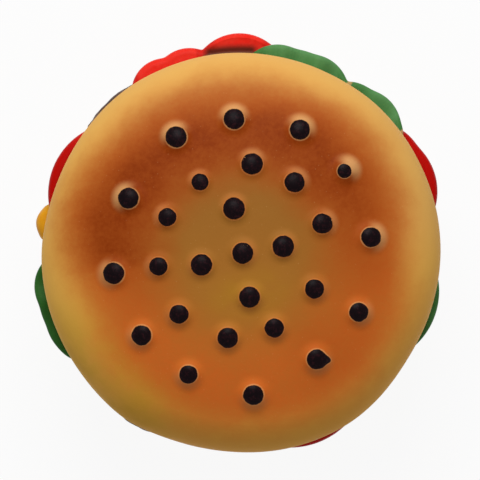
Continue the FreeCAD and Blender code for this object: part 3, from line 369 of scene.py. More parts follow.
def makeLettuceVinyl():
    coat = Coat("lettuceVinyl", lettuceLook)
    radius, angle = coat.polar(coat.here())
    mottle = coat.mottle()
    fresh = coat.times(mottle, lettuceLook["freshShare"])
    rim = coat.times(coat.step(radius, 0.0655, 0.0695), lettuceLook["rimShare"])
    brush = coat.joined(coat.times(angle, 0.55), coat.times(radius, 90.0))  # brush marks run outwards
    streak = coat.step(coat.cloud(brush, 1.6, 4.0, 0.6), 0.35, 0.70)
    # painted shade in the creases between the lobes
    crease = coat.step(coat.named("leafFold"), 0.1, 0.7, 0.5, 0.0)
    side, wideGap, thinGap = [coat.sector(angle, *lettuceLook[zone])
                              for zone in ("side", "wideGap", "thinGap")]
    tone = coat.layered("green", (fresh, "fresh"), (rim, "fresh"),
                        (coat.times(streak, lettuceLook["streakShare"]), "deep"), (crease, "deep"),
                        (side, "deep"), (coat.calc("MAXIMUM", wideGap, thinGap), "bare"))
    height = coat.calc("ADD", coat.grain(), coat.times(streak, lettuceLook["streakRise"]))
    return coat.finish(tone, coat.gloss(mottle), height)


tomatoLook = {
    # maroon is the painted shadow beside the bun, on the slice at the back
    "red": (236, 36, 24), "deep": (190, 11, 3), "bright": (240, 64, 48), "shadowMaroon": (92, 30, 16),
    "grey": (122, 74, 60), "specular": 0.06, "mottle": (120.0, 0.4), "gloss": (0.12, 0.36),
    "grain": (700.0, 0.2), "relief": (0.00016, 0.7), "brightShare": 0.6,
    "side": (98.0, 34.0, 52.0, 0.0, 1.0), "stripAcross": (-0.0118, 0.0048, 0.0016),
    "stripBack": (0.0, 0.03), "stripTop": (0.0449, 0.0456), "shadowStrip": (0.0664, 0.0690),
    "line": (0.0653, 0.0662),
}


def makeTomatoVinyl():
    coat = Coat("tomatoVinyl", tomatoLook)
    spot = coat.here()
    radius, angle = coat.polar(spot)
    mottle = coat.mottle()
    bright = coat.times(mottle, tomatoLook["brightShare"])
    side = coat.sector(angle, *tomatoLook["side"])  # only the slices at the back are bright; the rest get painted shade, away from the lamp
    # painted shade in the creases between the slices
    crease = coat.step(coat.named("leafFold"), 0.05, 0.5, 0.5, 0.0)
    # a painted shadow strip on top beside the bun, over the hinge, with a grey line along it
    x, y, z = coat.parts(spot)
    across = coat.times(coat.band(x, *tomatoLook["stripAcross"]), coat.step(y, *tomatoLook["stripBack"]),
                        coat.step(z, *tomatoLook["stripTop"]))
    shadowStrip, line = [coat.times(across, coat.step(radius, *tomatoLook[ring], 1.0, 0.0))
                   for ring in ("shadowStrip", "line")]
    tone = coat.layered("red", (bright, "bright"), (side, "deep"), (crease, "deep"), (shadowStrip, "shadowMaroon"),
                        (line, "grey"))
    return coat.finish(tone, coat.gloss(mottle), coat.grain())


pattyPaint = {"brown": (86, 46, 26), "char": (38, 20, 13), "fat": (132, 80, 46)}
pattyLook = {**pattyPaint, "specular": 0.25, "mottle": (150.0, 0.5), "gloss": (0.2, 0.45),
             "grain": (900.0, 0.3), "relief": (0.0007, 0.8), "crumb": 330.0, "crumbSoft": 0.35,
             "grainShare": 0.4}


def makePattyVinyl():
    coat = Coat("pattyVinyl", pattyLook)
    mottle = coat.mottle()
    crumb = coat.cells(coat.here(), pattyLook["crumb"], "SMOOTH_F1", Smoothness=pattyLook["crumbSoft"])
    tone = coat.layered("brown", (mottle, "char"), (coat.step(crumb, 0.10, 0.42, 0.55, 0.0), "fat"))
    height = coat.calc("SUBTRACT", coat.times(coat.grain(), pattyLook["grainShare"]), crumb)
    return coat.finish(tone, coat.gloss(mottle), height)


plasticLook = {"specular": 0.45, "mottle": (80.0, 0.4), "share": 1.0, "dust": (320.0, 0.2),
               "grain": (1300.0, 0.3), "relief": (0.00012, 0.8)}


def makePlastic(name, first, second, worn, **changes):  # two mottled colours under settled dust
    coat = Coat(name, {**plasticLook, **changes})
    scale, amount = coat.look["dust"]
    mottle = coat.mottle()
    dust = coat.use(settledDust, "Mask", Scale=scale, Amount=amount)
    tone = coat.layered(first, (coat.times(mottle, coat.look["share"]), second), (dust, worn))
    return coat.finish(tone, coat.gloss(mottle), coat.grain())


metalLook = {"metallic": 1.0, "mottle": (160.0, 0.5), "grain": (2200.0, 0.1), "relief": (0.00005, 0.7)}


def makeMetal(name, first, second, least):
    coat = Coat(name, {**metalLook, "gloss": (0.22, least)})
    mottle = coat.mottle()
    return coat.finish(coat.blend(mottle, first, second), coat.gloss(mottle), coat.grain())


boardLook = {"mottle": (120.0, 0.4), "gloss": (0.15, 0.28), "relief": (0.00008, 0.6), "dark": 0.3}
boardTrack = {"Scale": 130.0, "Mortar Size": 0.05, "Color1": paint(22, 78, 40), "Color2": paint(26, 90, 46),
              "Mortar": paint(70, 132, 62)}


def makeBoard():  # green lacquer over copper tracks
    coat = Coat("circuitBoard", boardLook)
    track = coat.add("ShaderNodeTexBrick")
    coat.putAll(track, Vector=coat.here(), **boardTrack)
    mottle = coat.mottle()
    tone = coat.blend(coat.times(mottle, boardLook["dark"]), track.outputs["Color"], (14, 56, 30))
    return coat.finish(tone, coat.gloss(mottle), track.outputs["Fac"])


bunVinyl = makeBunVinyl()
lowerBunVinyl = makeLowerBunVinyl()
lettuceVinyl = makeLettuceVinyl()
tomatoVinyl = makeTomatoVinyl()
pattyVinyl = makePattyVinyl()
cheeseVinyl = makePlastic("cheeseVinyl", (240, 174, 30), (228, 150, 16), (246, 196, 84), specular=0.12,
                          mottle=(75.0, 0.3), dust=(300.0, 0.25), gloss=(0.12, 0.33), grain=(600.0, 0.15),
                          relief=(0.00018, 0.7))
# the keypad deck: the patty's brown with a fine spark texture
deckPlastic = makePlastic("deckPlastic", *pattyPaint.values(), specular=0.3, mottle=(70.0, 0.5), share=0.55,
                          dust=(260.0, 0.22), gloss=(0.12, 0.42), grain=(1500.0, 0.5), relief=(0.0002, 0.8))
earPlastic = makePlastic("earPlastic", (218, 168, 98), (204, 150, 80), (232, 196, 140), gloss=(0.14, 0.35))
keyPlastic = makePlastic("keyPlastic", (236, 222, 190), (226, 208, 170), (244, 236, 214), gloss=(0.14, 0.31))
keyInk = makePlastic("keyInk", (48, 30, 22), (36, 22, 17), (80, 60, 48), gloss=(0.14, 0.43))
blackPlastic = makePlastic("blackPlastic", (34, 33, 32), (24, 24, 24), (70, 68, 64), gloss=(0.14, 0.35))
softRubber = makePlastic("softRubber", (52, 47, 43), (38, 35, 32), (96, 90, 82), gloss=(0.14, 0.68),
                         grain=(1700.0, 0.3), relief=(0.0002, 0.8))
conePaper = makePlastic("conePaper", (58, 54, 50), (78, 72, 64), (104, 98, 88), gloss=(0.14, 0.78),
                        grain=(600.0, 0.3), relief=(0.0003, 0.8))
magnetFerrite = makePlastic("magnetFerrite", (56, 56, 58), (42, 42, 44), (92, 92, 94), gloss=(0.14, 0.53))
brightSteel = makeMetal("brightSteel", (196, 196, 192), (164, 163, 158), 0.22)
contactBrass = makeMetal("contactBrass", (222, 178, 92), (196, 148, 66), 0.20)
canAluminium = makeMetal("canAluminium", (206, 208, 210), (180, 182, 186), 0.26)
boardLacquer = makeBoard()
print("materials ready:", len(bpy.data.materials))

keyFigures = {**{"key_" + n: n for n in "0123456789"}, "key_star": "*", "key_hash": "#"}
# every CAD node that stays gets its finish
nodeFinish = {
    lowerBunVinyl: ("lower_bun_shell",),
    deckPlastic: ("patty_deck",),
    earPlastic: ("ear_plate", "speaker_clamp"),
    keyPlastic: (*keyFigures, "redial_key", "flash_key"),
    blackPlastic: ("modular_jack", "ringer_switch_body", "tone_switch_body", "hook_switch_body",
                   "ringer_case", "dialling_chip", "hook_plunger", "ringer_switch_knob", "tone_switch_knob"),
    softRubber: ("foot_ring", "key_membrane", "microphone_boot", "speaker_gasket"),
    conePaper: ("speaker_cone",),
    magnetFerrite: ("speaker_magnet", "line_transformer"),
    brightSteel: ("hinge_pin", "lid_hinge_bracket", "speaker_basket", "hook_spring", "speaker_screws",
                  "board_screws"),
    contactBrass: ("jack_contacts", "ringer_disc"),
    canAluminium: ("line_capacitors", "microphone_capsule"),
    boardLacquer: ("circuit_board",),
}
for mat, names in nodeFinish.items():
    for name in names:
        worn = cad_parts[name].data.materials
        worn.clear()
        worn.append(mat)
print("CAD nodes dressed")


def addObject(name, data):
    obj = bpy.data.objects.new(name, data)
    scene.collection.objects.link(obj)
    return obj


def addMesh(name, verts, faces=()):
    mesh = bpy.data.meshes.new(name)
    mesh.from_pydata(verts, [], faces)
    return addObject(name, mesh)


def setSmooth(mesh, smooth):
    mesh.polygons.foreach_set("use_smooth", [smooth] * len(mesh.polygons))


def meshObject(name, verts, faces, mat):  # a closed shape with its doubled points joined
    obj = addMesh(name, [tuple(v) for v in verts], faces)
    bm = bmesh.new()
    bm.from_mesh(obj.data)
    bmesh.ops.remove_doubles(bm, verts=bm.verts, dist=1e-7)
    bmesh.ops.recalc_face_normals(bm, faces=bm.faces)
    bm.to_mesh(obj.data)
    bm.free()
    setSmooth(obj.data, True)
    obj.data.materials.append(mat)
    obj.data.update()
    return obj


def smoothShare(value, low, high):
    share = np.clip((value - low) / (high - low), 0, 1)
    return share * share * (3 - 2 * share)


def fullTurn(columns):
    return np.arange(columns) * 2 * math.pi / columns


def ringVerts(radius, height, turns):  # from mm, one point for each turn
    level = np.broadcast_to(height * mm, turns.shape)
    return zip(radius * mm * np.cos(turns), radius * mm * np.sin(turns), level)


def vertPlaces(obj):
    place = np.empty(len(obj.data.vertices) * 3, dtype=np.float32)
    obj.data.vertices.foreach_get("co", place)
    return place.reshape(-1, 3)


def floatMark(obj, name, values):
    mark = obj.data.attributes.new(name, "FLOAT", "POINT")
    mark.data.foreach_set("value", np.asarray(values, dtype=np.float32))


def loopFaces(rows, columns, closeRows=True, closeColumns=True):  # quads of a grid that may close round
    faces = []
    for row in range(rows if closeRows else rows - 1):
        after = (row + 1) % rows
        for col in range(columns if closeColumns else columns - 1):
            beside = (col + 1) % columns
            faces.append((row * columns + col, row * columns + beside,
                          after * columns + beside, after * columns + col))
    return faces


def bakeNodes(obj):  # what the modifiers make becomes a plain mesh
    bpy.context.view_layer.update()
    graph = bpy.context.evaluated_depsgraph_get()
    mesh = bpy.data.meshes.new_from_object(obj.evaluated_get(graph), preserve_all_data_layers=True,
                                           depsgraph=graph)
    obj.modifiers.clear()
    old = obj.data
    obj.data = mesh
    mesh.name = obj.name
    bpy.data.meshes.remove(old)
    setSmooth(mesh, True)


def applyTree(obj, tree, values):
    made = obj.modifiers.new(tree.name, "NODES")
    made.node_group = tree
    for item in tree.interface.items_tree:
        if item.in_out == "INPUT" and item.name in values:
            made[item.identifier] = values[item.name]
    bakeNodes(obj)


def marked(bench, name, kind="FLOAT"):
    node = bench.add("GeometryNodeInputNamedAttribute", data_type=kind)
    node.inputs["Name"].default_value = name
    return node.outputs[0]


def shoved(bench, geometry, offset):
    node = bench.add("GeometryNodeSetPosition")
    bench.putAll(node, Geometry=geometry, Offset=offset)
    return node.outputs[0]


def lastSteps(bench, made, geometry, mat):
    real = bench.add("GeometryNodeRealizeInstances")
    finish = bench.add("GeometryNodeSetMaterial")
    bench.put(real.inputs[0], geometry)
    bench.putAll(finish, Geometry=real.outputs[0], Material=mat)
    bench.put(made, finish.outputs[0])


bun = {
    "radius": 65.0, "wide": 60.3, "rim": 49.3, "crown": 85.3, "shoulder": 16.0, "tuck": 11.0, "lip": 4.0,
    "wall": 2.5, "columns": 400, "outerRows": (136, 44, 22), "innerRows": (18, 8, 6),
    "bumpHeight": 2.25, "skirt": 6.2, "swell": 0.7, "swellScale": 26.0, "swellFrom": 53.0,
    "crownSkin": 0.8, "shoulderSkin": 14.0, "unevenFrom": (44.0, 62.0), "unevenBlur": 6,
    # the moulding is not quite round: angle, change of the rim's radius
    "outline": ((0, 0.0), (30, 0.1), (45, 0.3), (60, -0.1), (100, 0.1), (125, 0.1), (140, -0.5), (154, -1.0),
                (166, -0.9), (180, -0.1), (215, 0.0), (225, 0.4), (234, 0.9), (240, 0.6), (247, -0.3),
                (258, -0.5), (270, -0.4), (280, 0.0), (291, 0.4), (300, 0.7), (310, 0.3), (320, -0.5),
                (329, -0.9), (345, -0.6), (354, -0.2)),
    # a bump's height against its width, between the top and the foot
    "bumpLine": ((0.18, 0.96), (0.34, 0.84), (0.46, 0.66), (0.54, 0.49), (0.62, 0.33), (0.72, 0.18),
                 (0.84, 0.06)),
}
# seeds: angle, distance from the middle, width of the bump, radius of the painted dot
seedSpots = (
    (3, 0.5, 1.00, 3.42), (9, 13.8, 1.00, 3.52), (99, 14.6, 1.00, 3.57), (196.5, 13.4, 1.00, 3.49),
    (281, 14.5, 1.00, 3.42), (20, 28.0, 1.00, 3.29), (53, 28.7, 1.00, 3.30), (83, 29.1, 1.00, 3.53),
    (120, 26.6, 0.84, 2.77), (154, 26.6, 0.92, 2.96), (189, 27.1, 0.94, 2.99), (224.5, 28.2, 0.97, 3.12),
    (261, 27.7, 1.00, 3.37), (294, 26.5, 0.97, 3.13), (334, 26.4, 0.97, 3.13), (7, 42.4, 1.05, 3.25),
    (38.5, 43.3, 1.00, 2.35), (64.5, 44.3, 1.05, 3.32), (93, 43.5, 1.05, 3.37), (119.2, 43.1, 1.05, 3.46),
    (154, 40.6, 1.05, 3.38), (189, 41.8, 1.05, 3.48), (219.5, 41.8, 1.02, 3.29), (246.5, 42.8, 0.98, 3.00),
    (275, 46.1, 1.05, 3.30), (305.5, 42.2, 1.05, 3.27), (333.4, 42.6, 0.98, 3.11),
)
oddDots = {"dotPush": ((38.5, 43.3), (-0.45, -0.35)),  # this dot sits off the top of its bump
           "dotTail": ((305.5, 42.2), (1.3, -0.1))}  # and the paint of this one ran


def bunProfile():  # radius and height of the skin from the crown down, then back up inside the wall
    shoulderMid = bun["radius"] - bun["shoulder"]
    tuckMid = bun["radius"] - bun["tuck"]
    lift = bun["crown"] - bun["wide"]
    crownRadius = (shoulderMid ** 2 + lift ** 2 - bun["shoulder"] ** 2) / (2 * (lift - bun["shoulder"]))
    crownMid = bun["crown"] - crownRadius
    lean = math.atan2(shoulderMid, bun["wide"] - crownMid)

    def arc(middle, level, reach, start, end, rows):
        turns = [start + (end - start) * row / rows for row in range(rows + 1)]
        return [(middle + reach * math.sin(a), level + reach * math.cos(a)) for a in turns]

    def skin(inset, crownRows, shoulderRows, tuckRows):
        crown = arc(0, crownMid, crownRadius - inset, 0, lean, crownRows)
        shoulder = arc(shoulderMid, bun["wide"], bun["shoulder"] - inset, lean, math.pi / 2, shoulderRows)
        tuck = arc(tuckMid, bun["wide"], bun["tuck"] - inset, math.pi / 2, math.pi, tuckRows)
        return crown + shoulder[1:] + tuck[1:]

    openRim = tuckMid - bun["lip"]
    lip = [(openRim, bun["rim"]), (openRim, bun["rim"] + bun["wall"])]
    inner = skin(bun["wall"], *bun["innerRows"])
    return skin(0, *bun["outerRows"]) + lip + inner[::-1], crownRadius, crownMid


def seedPoints(crownRadius, crownMid):  # the seeds' places as loose points that carry their sizes
    turns = [math.radians(spot[0]) for spot in seedSpots]
    points = addMesh("seedSpots", [
        (radius * mm * math.cos(a), radius * mm * math.sin(a),
         (crownMid + math.sqrt(crownRadius ** 2 - radius ** 2)) * mm)
        for a, (angle, radius, wide, dot) in zip(turns, seedSpots)])
    floatMark(points, "bumpWide", [spot[2] for spot in seedSpots])
    floatMark(points, "dotRadius", [spot[3] * mm for spot in seedSpots])
    for name, (seed, move) in oddDots.items():
        moves = [(*move, 0) if spot[:2] == seed else (0, 0, 0) for spot in seedSpots]
        mark = points.data.attributes.new(name, "FLOAT_VECTOR", "POINT")
        mark.data.foreach_set("vector", np.array(moves, dtype=np.float32).ravel() * mm)
    return points


def makeSeedTree():  # raises a bump at the nearest seed and stores how far each point lies from its dot
    tree, bench, given, made = newTree("raisedSeeds", "Geometry", {
        "Geometry": "Geometry", "Seed Points": "Object", "Bump Height": 0.002, "Skirt": 0.005,
        "Swell": 0.0003, "Material": "Material"}, "Geometry")
    info = bench.add("GeometryNodeObjectInfo", transform_space="RELATIVE")
    bench.put(info.inputs["Object"], given["Seed Points"])
    seeds = info.outputs["Geometry"]
    here = bench.add("GeometryNodeInputPosition").outputs[0]
    nearest = bench.add("GeometryNodeSampleNearest", domain="POINT")
    bench.put(nearest.inputs["Geometry"], seeds)
    bench.put(nearest.inputs["Sample Position"], here)

    def fromSeed(value, kind="FLOAT"):
        node = bench.add("GeometryNodeSampleIndex", data_type=kind, domain="POINT")
        bench.putAll(node, Geometry=seeds, Value=value, Index=nearest.outputs["Index"])
        return node.outputs[0]

    def length(vector):
        return bench.vec("LENGTH", vector, output="Value")

    def along(first, second):
        return bench.vec("DOT_PRODUCT", bench.vec("NORMALIZE", first), bench.vec("NORMALIZE", second),
                         output="Value")

    level = (1.0, 1.0, 0.0)
    centre = fromSeed(here, "FLOAT_VECTOR")
    wide = fromSeed(marked(bench, "bumpWide"))
    dotRadius = fromSeed(marked(bench, "dotRadius"))
    dotPush, dotTail = [fromSeed(marked(bench, name, "FLOAT_VECTOR"), "FLOAT_VECTOR") for name in oddDots]
    away = bench.vec("MULTIPLY", bench.vec("SUBTRACT", here, centre), level)
    share = bench.calc("DIVIDE", length(away), bench.times(given["Skirt"], wide), clamp=True)
    curve = bench.add("ShaderNodeFloatCurve")
    line = curve.mapping.curves[0]
    line.points[0].location = (0.0, 1.0)
    line.points[1].location = (1.0, 0.0)
    for spot in bun["bumpLine"]:
        line.points.new(*spot)
    curve.mapping.update()
    bench.put(curve.inputs["Value"], share)
    outerSkin = marked(bench, "outerSkin")
    rise = bench.times(curve.outputs[0], given["Bump Height"], wide, outerSkin)
    uneven = bench.calc("SUBTRACT", bench.cloud(here, bun["swellScale"], 2.0, 0.5), 0.5)
    swell = bench.times(uneven, given["Swell"], marked(bench, "swellHere"))
    normal = bench.add("GeometryNodeInputNormal").outputs[0]
    geometry = shoved(bench, given["Geometry"], bench.vec("SCALE", normal, bench.calc("ADD", rise, swell)))
    narrow, noDot = 14.0, 9.0  # how narrow the run of paint is, and what keeps dots off the inside
    fromDot = bench.vec("SUBTRACT", away, dotPush)
    onTail = bench.calc("POWER", bench.calc("MAXIMUM", along(fromDot, dotTail), 0.0), narrow)
    toDot = bench.calc("SUBTRACT", length(fromDot), bench.times(onTail, length(dotTail)))
    inside = bench.calc("SUBTRACT", 1.0, outerSkin)
    reach = bench.scaled(inside, noDot, bench.calc("DIVIDE", toDot, dotRadius))
    out = along(away, bench.vec("MULTIPLY", centre, level))
    for name, value in (("seedReach", reach), ("seedSide", out), ("seedSkirt", share)):
        store = bench.add("GeometryNodeStoreNamedAttribute", data_type="FLOAT", domain="POINT")
        bench.putAll(store, Geometry=geometry, Name=name, Value=value)
        geometry = store.outputs[0]
    lastSteps(bench, made, geometry, given["Material"])
    return tree


def makeBunSkin():
    line, crownRadius, crownMid = bunProfile()
    turns = fullTurn(bun["columns"])
    uneven = np.interp(np.degrees(turns), *zip(*bun["outline"]), period=360)
    blur = bun["unevenBlur"]
    uneven = np.mean([np.roll(uneven, shift) for shift in range(-blur, blur + 1)], axis=0)
    verts = []
    for radius, height in line:
        verts.extend(ringVerts(radius + uneven * smoothShare(radius, *bun["unevenFrom"]), height, turns))
    obj = meshObject("bunSkin", verts, loopFaces(len(line), len(turns), closeRows=False), bunVinyl)
    # the outer skin is marked, since bumps and swells are raised there alone
    x, y, z = vertPlaces(obj).T / mm
    flat = np.hypot(x, y)
    crownSkin = np.sqrt(flat ** 2 + (z - crownMid) ** 2) > crownRadius - bun["crownSkin"]
    shoulderMid = bun["radius"] - bun["shoulder"]
    shoulderSkin = np.hypot(flat - shoulderMid, z - bun["wide"]) > bun["shoulderSkin"]
    floatMark(obj, "outerSkin", crownSkin & (z > bun["wide"]))
    floatMark(obj, "swellHere", (crownSkin | shoulderSkin) & (z > bun["swellFrom"]))
    points = seedPoints(crownRadius, crownMid)
    applyTree(obj, makeSeedTree(), {"Seed Points": points, "Bump Height": bun["bumpHeight"] * mm,
                                    "Skirt": bun["skirt"] * mm, "Swell": bun["swell"] * mm,
                                    "Material": bunVinyl})
    bpy.data.objects.remove(points)
    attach(obj, "lid")
    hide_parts("upper_bun_shell")
    print("upper bun:", len(obj.data.polygons), "faces")


makeBunSkin()


def lobeReach(turns, shape):  # how far out the edge lies at each angle; lobes are angle, radius, shortfall
    reaches = [np.full_like(turns, shape["floor"])]
    for angle, lobe, short in shape["lobes"]:
        middle = shape["reach"] - short - lobe
        apart = turns - math.radians(angle)
        across = middle * np.sin(apart)
        reach = middle * np.cos(apart) + np.sqrt(np.clip(lobe ** 2 - across ** 2, 0, None))
        reaches.append(np.where(np.abs(across) < lobe, reach, 0.0))
    stack = np.array(reaches)
    top = stack.max(axis=0)
    return top + shape["soft"] * np.log(np.exp((stack - top) / shape["soft"]).sum(axis=0))


def lobedRing(name, mat, shape, lift):  # a ring whose rounded rim follows the lobes, bent by lift
    flatRows, edgeRows, topCrowd, lowCrowd = 16, 8, 0.7, 1.4
    inner, edge, low, high = [shape[trait] for trait in ("inner", "edge", "low", "high")]
    turns = fullTurn(shape["columns"])
    reach = lobeReach(turns, shape)
    shares = [row / (flatRows - 1) for row in range(flatRows)]
    rows = [("top", share ** topCrowd) for share in shares]
    rows += [("edge", math.pi * row / edgeRows) for row in range(1, edgeRows)]
    rows += [("low", 1 - share ** lowCrowd) for share in shares]
    verts = []
    for kind, amount in rows:
        if kind == "edge":
            radius = reach - edge + edge * math.sin(amount)
            height = (low + high) / 2 + (high - low) / 2 * math.cos(amount)
        else:
            radius = inner + (reach - edge - inner) * amount
            height = high if kind == "top" else low
        verts.extend(ringVerts(radius, height + lift(radius, kind), turns))
    return meshObject(name, verts, loopFaces(len(rows), len(turns)), mat), reach


def markFold(obj, reach):  # 0 in a crease between two lobes, 1 on a lobe
    spread, deep = 14, 2.2
    x, y, z = vertPlaces(obj).T
    count = len(reach)
    index = np.round(np.arctan2(y, x) / (2 * math.pi) * count).astype(int) % count
    near = np.array([np.roll(reach, shift) for shift in range(-spread, spread + 1)])
    crease = np.clip((near.max(axis=0) - reach) / deep, 0, 1)
    floatMark(obj, "leafFold", (1 - crease)[index])


lettuce = {
    "reach": 69.4, "inner": 45.0, "low": 46.35, "high": 49.25, "edge": 1.45, "columns": 900, "floor": 60.0,
    "soft": 0.35, "curl": 1.1, "wave": 0.75, "curlFrom": (57.0, 66.0),
    # waves round the rim: how many, how far and how often they sway; finer ones: how many, start, share
    "ripple": (23, 1.3, 5), "fineRipple": (37, 2.0, 0.6),
    "lobes": ((40.2, 7, 2.4), (45.9, 12.6, 0), (51.6, 12, 1.4), (66.6, 12.6, 0), (72, 14, 0.3),
              (78, 12.6, 0.2), (191, 12, 1.0), (197, 16, 1.4), (203, 13, 1.5), (207, 9, 2.6), (343, 24, 3.0),
              (132, 18, 5.4), (158, 18, 5.7), (232, 18, 5.6), (262, 18, 5.4), (290, 18, 5.7),
              (316, 18, 5.5), (10, 16, 5.6)),
}


def makeLettuce():
    turns = fullTurn(lettuce["columns"])
    count, sway, often = lettuce["ripple"]
    fineCount, start, share = lettuce["fineRipple"]
    ripple = np.sin(turns * count + sway * np.sin(turns * often)) + share * np.sin(turns * fineCount + start)

    def lift(radius, kind):
        return smoothShare(radius, *lettuce["curlFrom"]) * (lettuce["curl"] + lettuce["wave"] * ripple)

    obj, reach = lobedRing("lettuceLeaf", lettuceVinyl, lettuce, lift)
    markFold(obj, reach)
    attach(obj, "lid")
    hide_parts("lettuce_layer")


tomato = {
    "reach": 71.7, "inner": 50.1, "low": 41.4, "high": 46.25, "edge": 2.3, "columns": 900, "floor": 60.0,
    "soft": 0.30, "sag": 0.35, "sagFrom": (62.0, 70.0), "sharp": 40.0,
    "lobes": ((90.5, 16.1, 0), (107, 12, 2.3), (115.2, 11, 2.6), (154, 23.5, 4.3), (24.5, 20, 3.3),
              (32, 14, 4.5), (293, 26, 5.0), (200, 22, 7.6), (240, 22, 7.3), (334, 22, 7.5), (56, 18, 7.2)),
}
pocket = {"play": 0.1, "back": 2.7, "past": 1.0}


def cutPocket(obj):  # room under the slices for the hinge bracket
    low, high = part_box("lid_hinge_bracket")
    play = pocket["play"] * mm
    spanX = (low.x - play, high.x + play)
    spanY = (low.y - play, high.y - pocket["back"] * mm)
    spanZ = ((tomato["low"] - pocket["past"]) * mm, high.z + play)
    corners = [(x, y, z) for x in spanX for y in spanY for z in spanZ]
    faces = [(0, 1, 3, 2), (4, 6, 7, 5), (0, 4, 5, 1), (2, 3, 7, 6), (0, 2, 6, 4), (1, 5, 7, 3)]
    block = meshObject("pocketBlock", corners, faces, tomatoVinyl)
    cutter = obj.modifiers.new("pocket", "BOOLEAN")
    cutter.operation = "DIFFERENCE"
    cutter.object = block
    bakeNodes(obj)
    bpy.data.objects.remove(block)
    obj.data.set_sharp_from_angle(angle=math.radians(tomato["sharp"]))


def makeTomato():
    def lift(radius, kind):
        return -tomato["sag"] * smoothShare(radius, *tomato["sagFrom"]) * (kind == "top")

    obj, reach = lobedRing("tomatoSlices", tomatoVinyl, tomato, lift)
    cutPocket(obj)
    markFold(obj, reach)
    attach(obj, "lid")
    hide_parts("tomato_layer")


makeLettuce()
makeTomato()
print("lettuce and tomato laid in")


cheese = {"side": 98.0, "turn": 35.0, "open": 46.6, "low": 38.55, "high": 40.85, "shift": 1.6, "bend": 2.6,
          "drape": 65.0, "foot": 63.3, "front": 57.7, "columns": 720, "hangMost": 8.6,
          "hangLeast": 0.05, "flapHalf": 9.2, "corners": (171.0, 350.0), "rows": 34, "rimRows": 6,
          "crowd": 0.6}


def squareReach(turns, half, turn):  # distance to a square's edge at each angle
    facing, farOff = 0.3, 999.0
    local = turns - math.radians(turn)
    sides = [np.cos(local - quarter * math.pi / 2) for quarter in range(4)]
    reaches = [np.where(side > facing, half / np.maximum(side, facing), farOff) for side in sides]
    return np.min(reaches, axis=0)


def makeCheese():  # a soft square whose two side corners hang down over the patty
    turns = fullTurn(cheese["columns"])
    edge = squareReach(turns, cheese["side"] / 2, cheese["turn"])
    cut = cheese["front"] / np.maximum(np.abs(np.sin(turns)), 1e-6)  # front and back corners are cut off
    bend = cheese["bend"]
    hang = np.zeros_like(turns)
    drape = np.full_like(turns, cheese["foot"])
    for corner in cheese["corners"]:
        apart = np.abs((turns - math.radians(corner) + math.pi) % (2 * math.pi) - math.pi) * cheese["drape"]
        share = np.cos(np.clip(apart / cheese["flapHalf"], 0, 1) * math.pi / 2) ** 2
        outer = cheese["drape"] - cheese["shift"] * math.cos(math.radians(corner))  # a little to the left
        drape = np.maximum(drape, cheese["foot"] + (outer - cheese["foot"]) * share)
        hang = np.maximum(hang, cheese["hangMost"] * share)
    plain = np.minimum(np.minimum(edge, cut), drape - bend)
    length = np.where(hang > cheese["hangLeast"], drape - bend + hang, plain)
    mid = (cheese["high"] + cheese["low"]) / 2
    half = (cheese["high"] - cheese["low"]) / 2
    lines = []
    for row in range(cheese["rows"]):  # along the middle of the slice, bent down at the drape
        share = (row / (cheese["rows"] - 1)) ** cheese["crowd"]
        far = cheese["open"] + (length - cheese["open"]) * share
        over = np.clip(far - (drape - bend), 0, None)
        turn = np.clip(over / bend, 0, math.pi / 2)
        down = np.clip(over - bend * math.pi / 2, 0, None)
        radius = np.minimum(far, drape - bend) + bend * np.sin(turn)
        lines.append((radius, mid - bend * (1 - np.cos(turn)) - down, turn))
    # over the top, round the rim and back below
    around = [(*place, 0.0) for place in lines]
    around += [(*lines[-1], math.pi * row / cheese["rimRows"]) for row in range(1, cheese["rimRows"])]
    around += [(*place, math.pi) for place in reversed(lines)]
    verts = []
    for radius, height, turn, a in around:
        verts.extend(ringVerts(radius + half * np.sin(turn + a), height + half * np.cos(turn + a), turns))
    obj = meshObject("cheeseSlice", verts, loopFaces(len(around), len(turns)), cheeseVinyl)
    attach(obj, "base")
    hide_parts("cheese_slice")


makeCheese()
print("cheese draped")


patty = {
    "floor": 61.9, "inner": 58.6, "low": 25.7, "high": 38.45, "columns": 760, "rows": 30, "open": 10.6,
    "reach": 66.0, "soft": 0.5, "coarse": 0.9, "fine": 0.45, "seed": 3.0, "fat": 0.45, "swing": 2.2,
    "lumps": (210.0, 0.5, 0.42), "grains": (480.0, 0.4, 0.36), "seedShift": (0.013, 0.007, 0.019),
    "calmFrom": (64.4, 66.0), "calm": 0.8,
    "lobes": ((129, 38, 0), (236.5, 12, -0.5), (30, 20, 2.2), (204, 20, 2.1), (285, 22, 2.2),
              (316, 20, 2.4)),
}


def makeMinceTree():
    tree, bench, given, made = newTree("mincedEdge", "Geometry", {
        "Geometry": "Geometry", "Coarse": 0.001, "Fine": 0.0004, "Seed": 3.0, "Material": "Material"},
        "Geometry")
    here = bench.add("GeometryNodeInputPosition").outputs[0]
    shifted = bench.vec("ADD", here, bench.vec("SCALE", patty["seedShift"], given["Seed"]))

    def mince(kind, height):
        scale, soft, level = patty[kind]
        cells = bench.cells(shifted, scale, "SMOOTH_F1", Smoothness=soft)
        return bench.times(bench.calc("SUBTRACT", level, cells), height)

    rise = bench.calc("ADD", mince("lumps", given["Coarse"]), mince("grains", given["Fine"]))
    rise = bench.times(rise, patty["swing"], marked(bench, "rimShare"))
    outward = bench.vec("NORMALIZE", bench.vec("MULTIPLY", here, (1.0, 1.0, 0.0)))
    geometry = shoved(bench, given["Geometry"], bench.vec("SCALE", outward, rise))
    lastSteps(bench, made, geometry, given["Material"])
    return tree


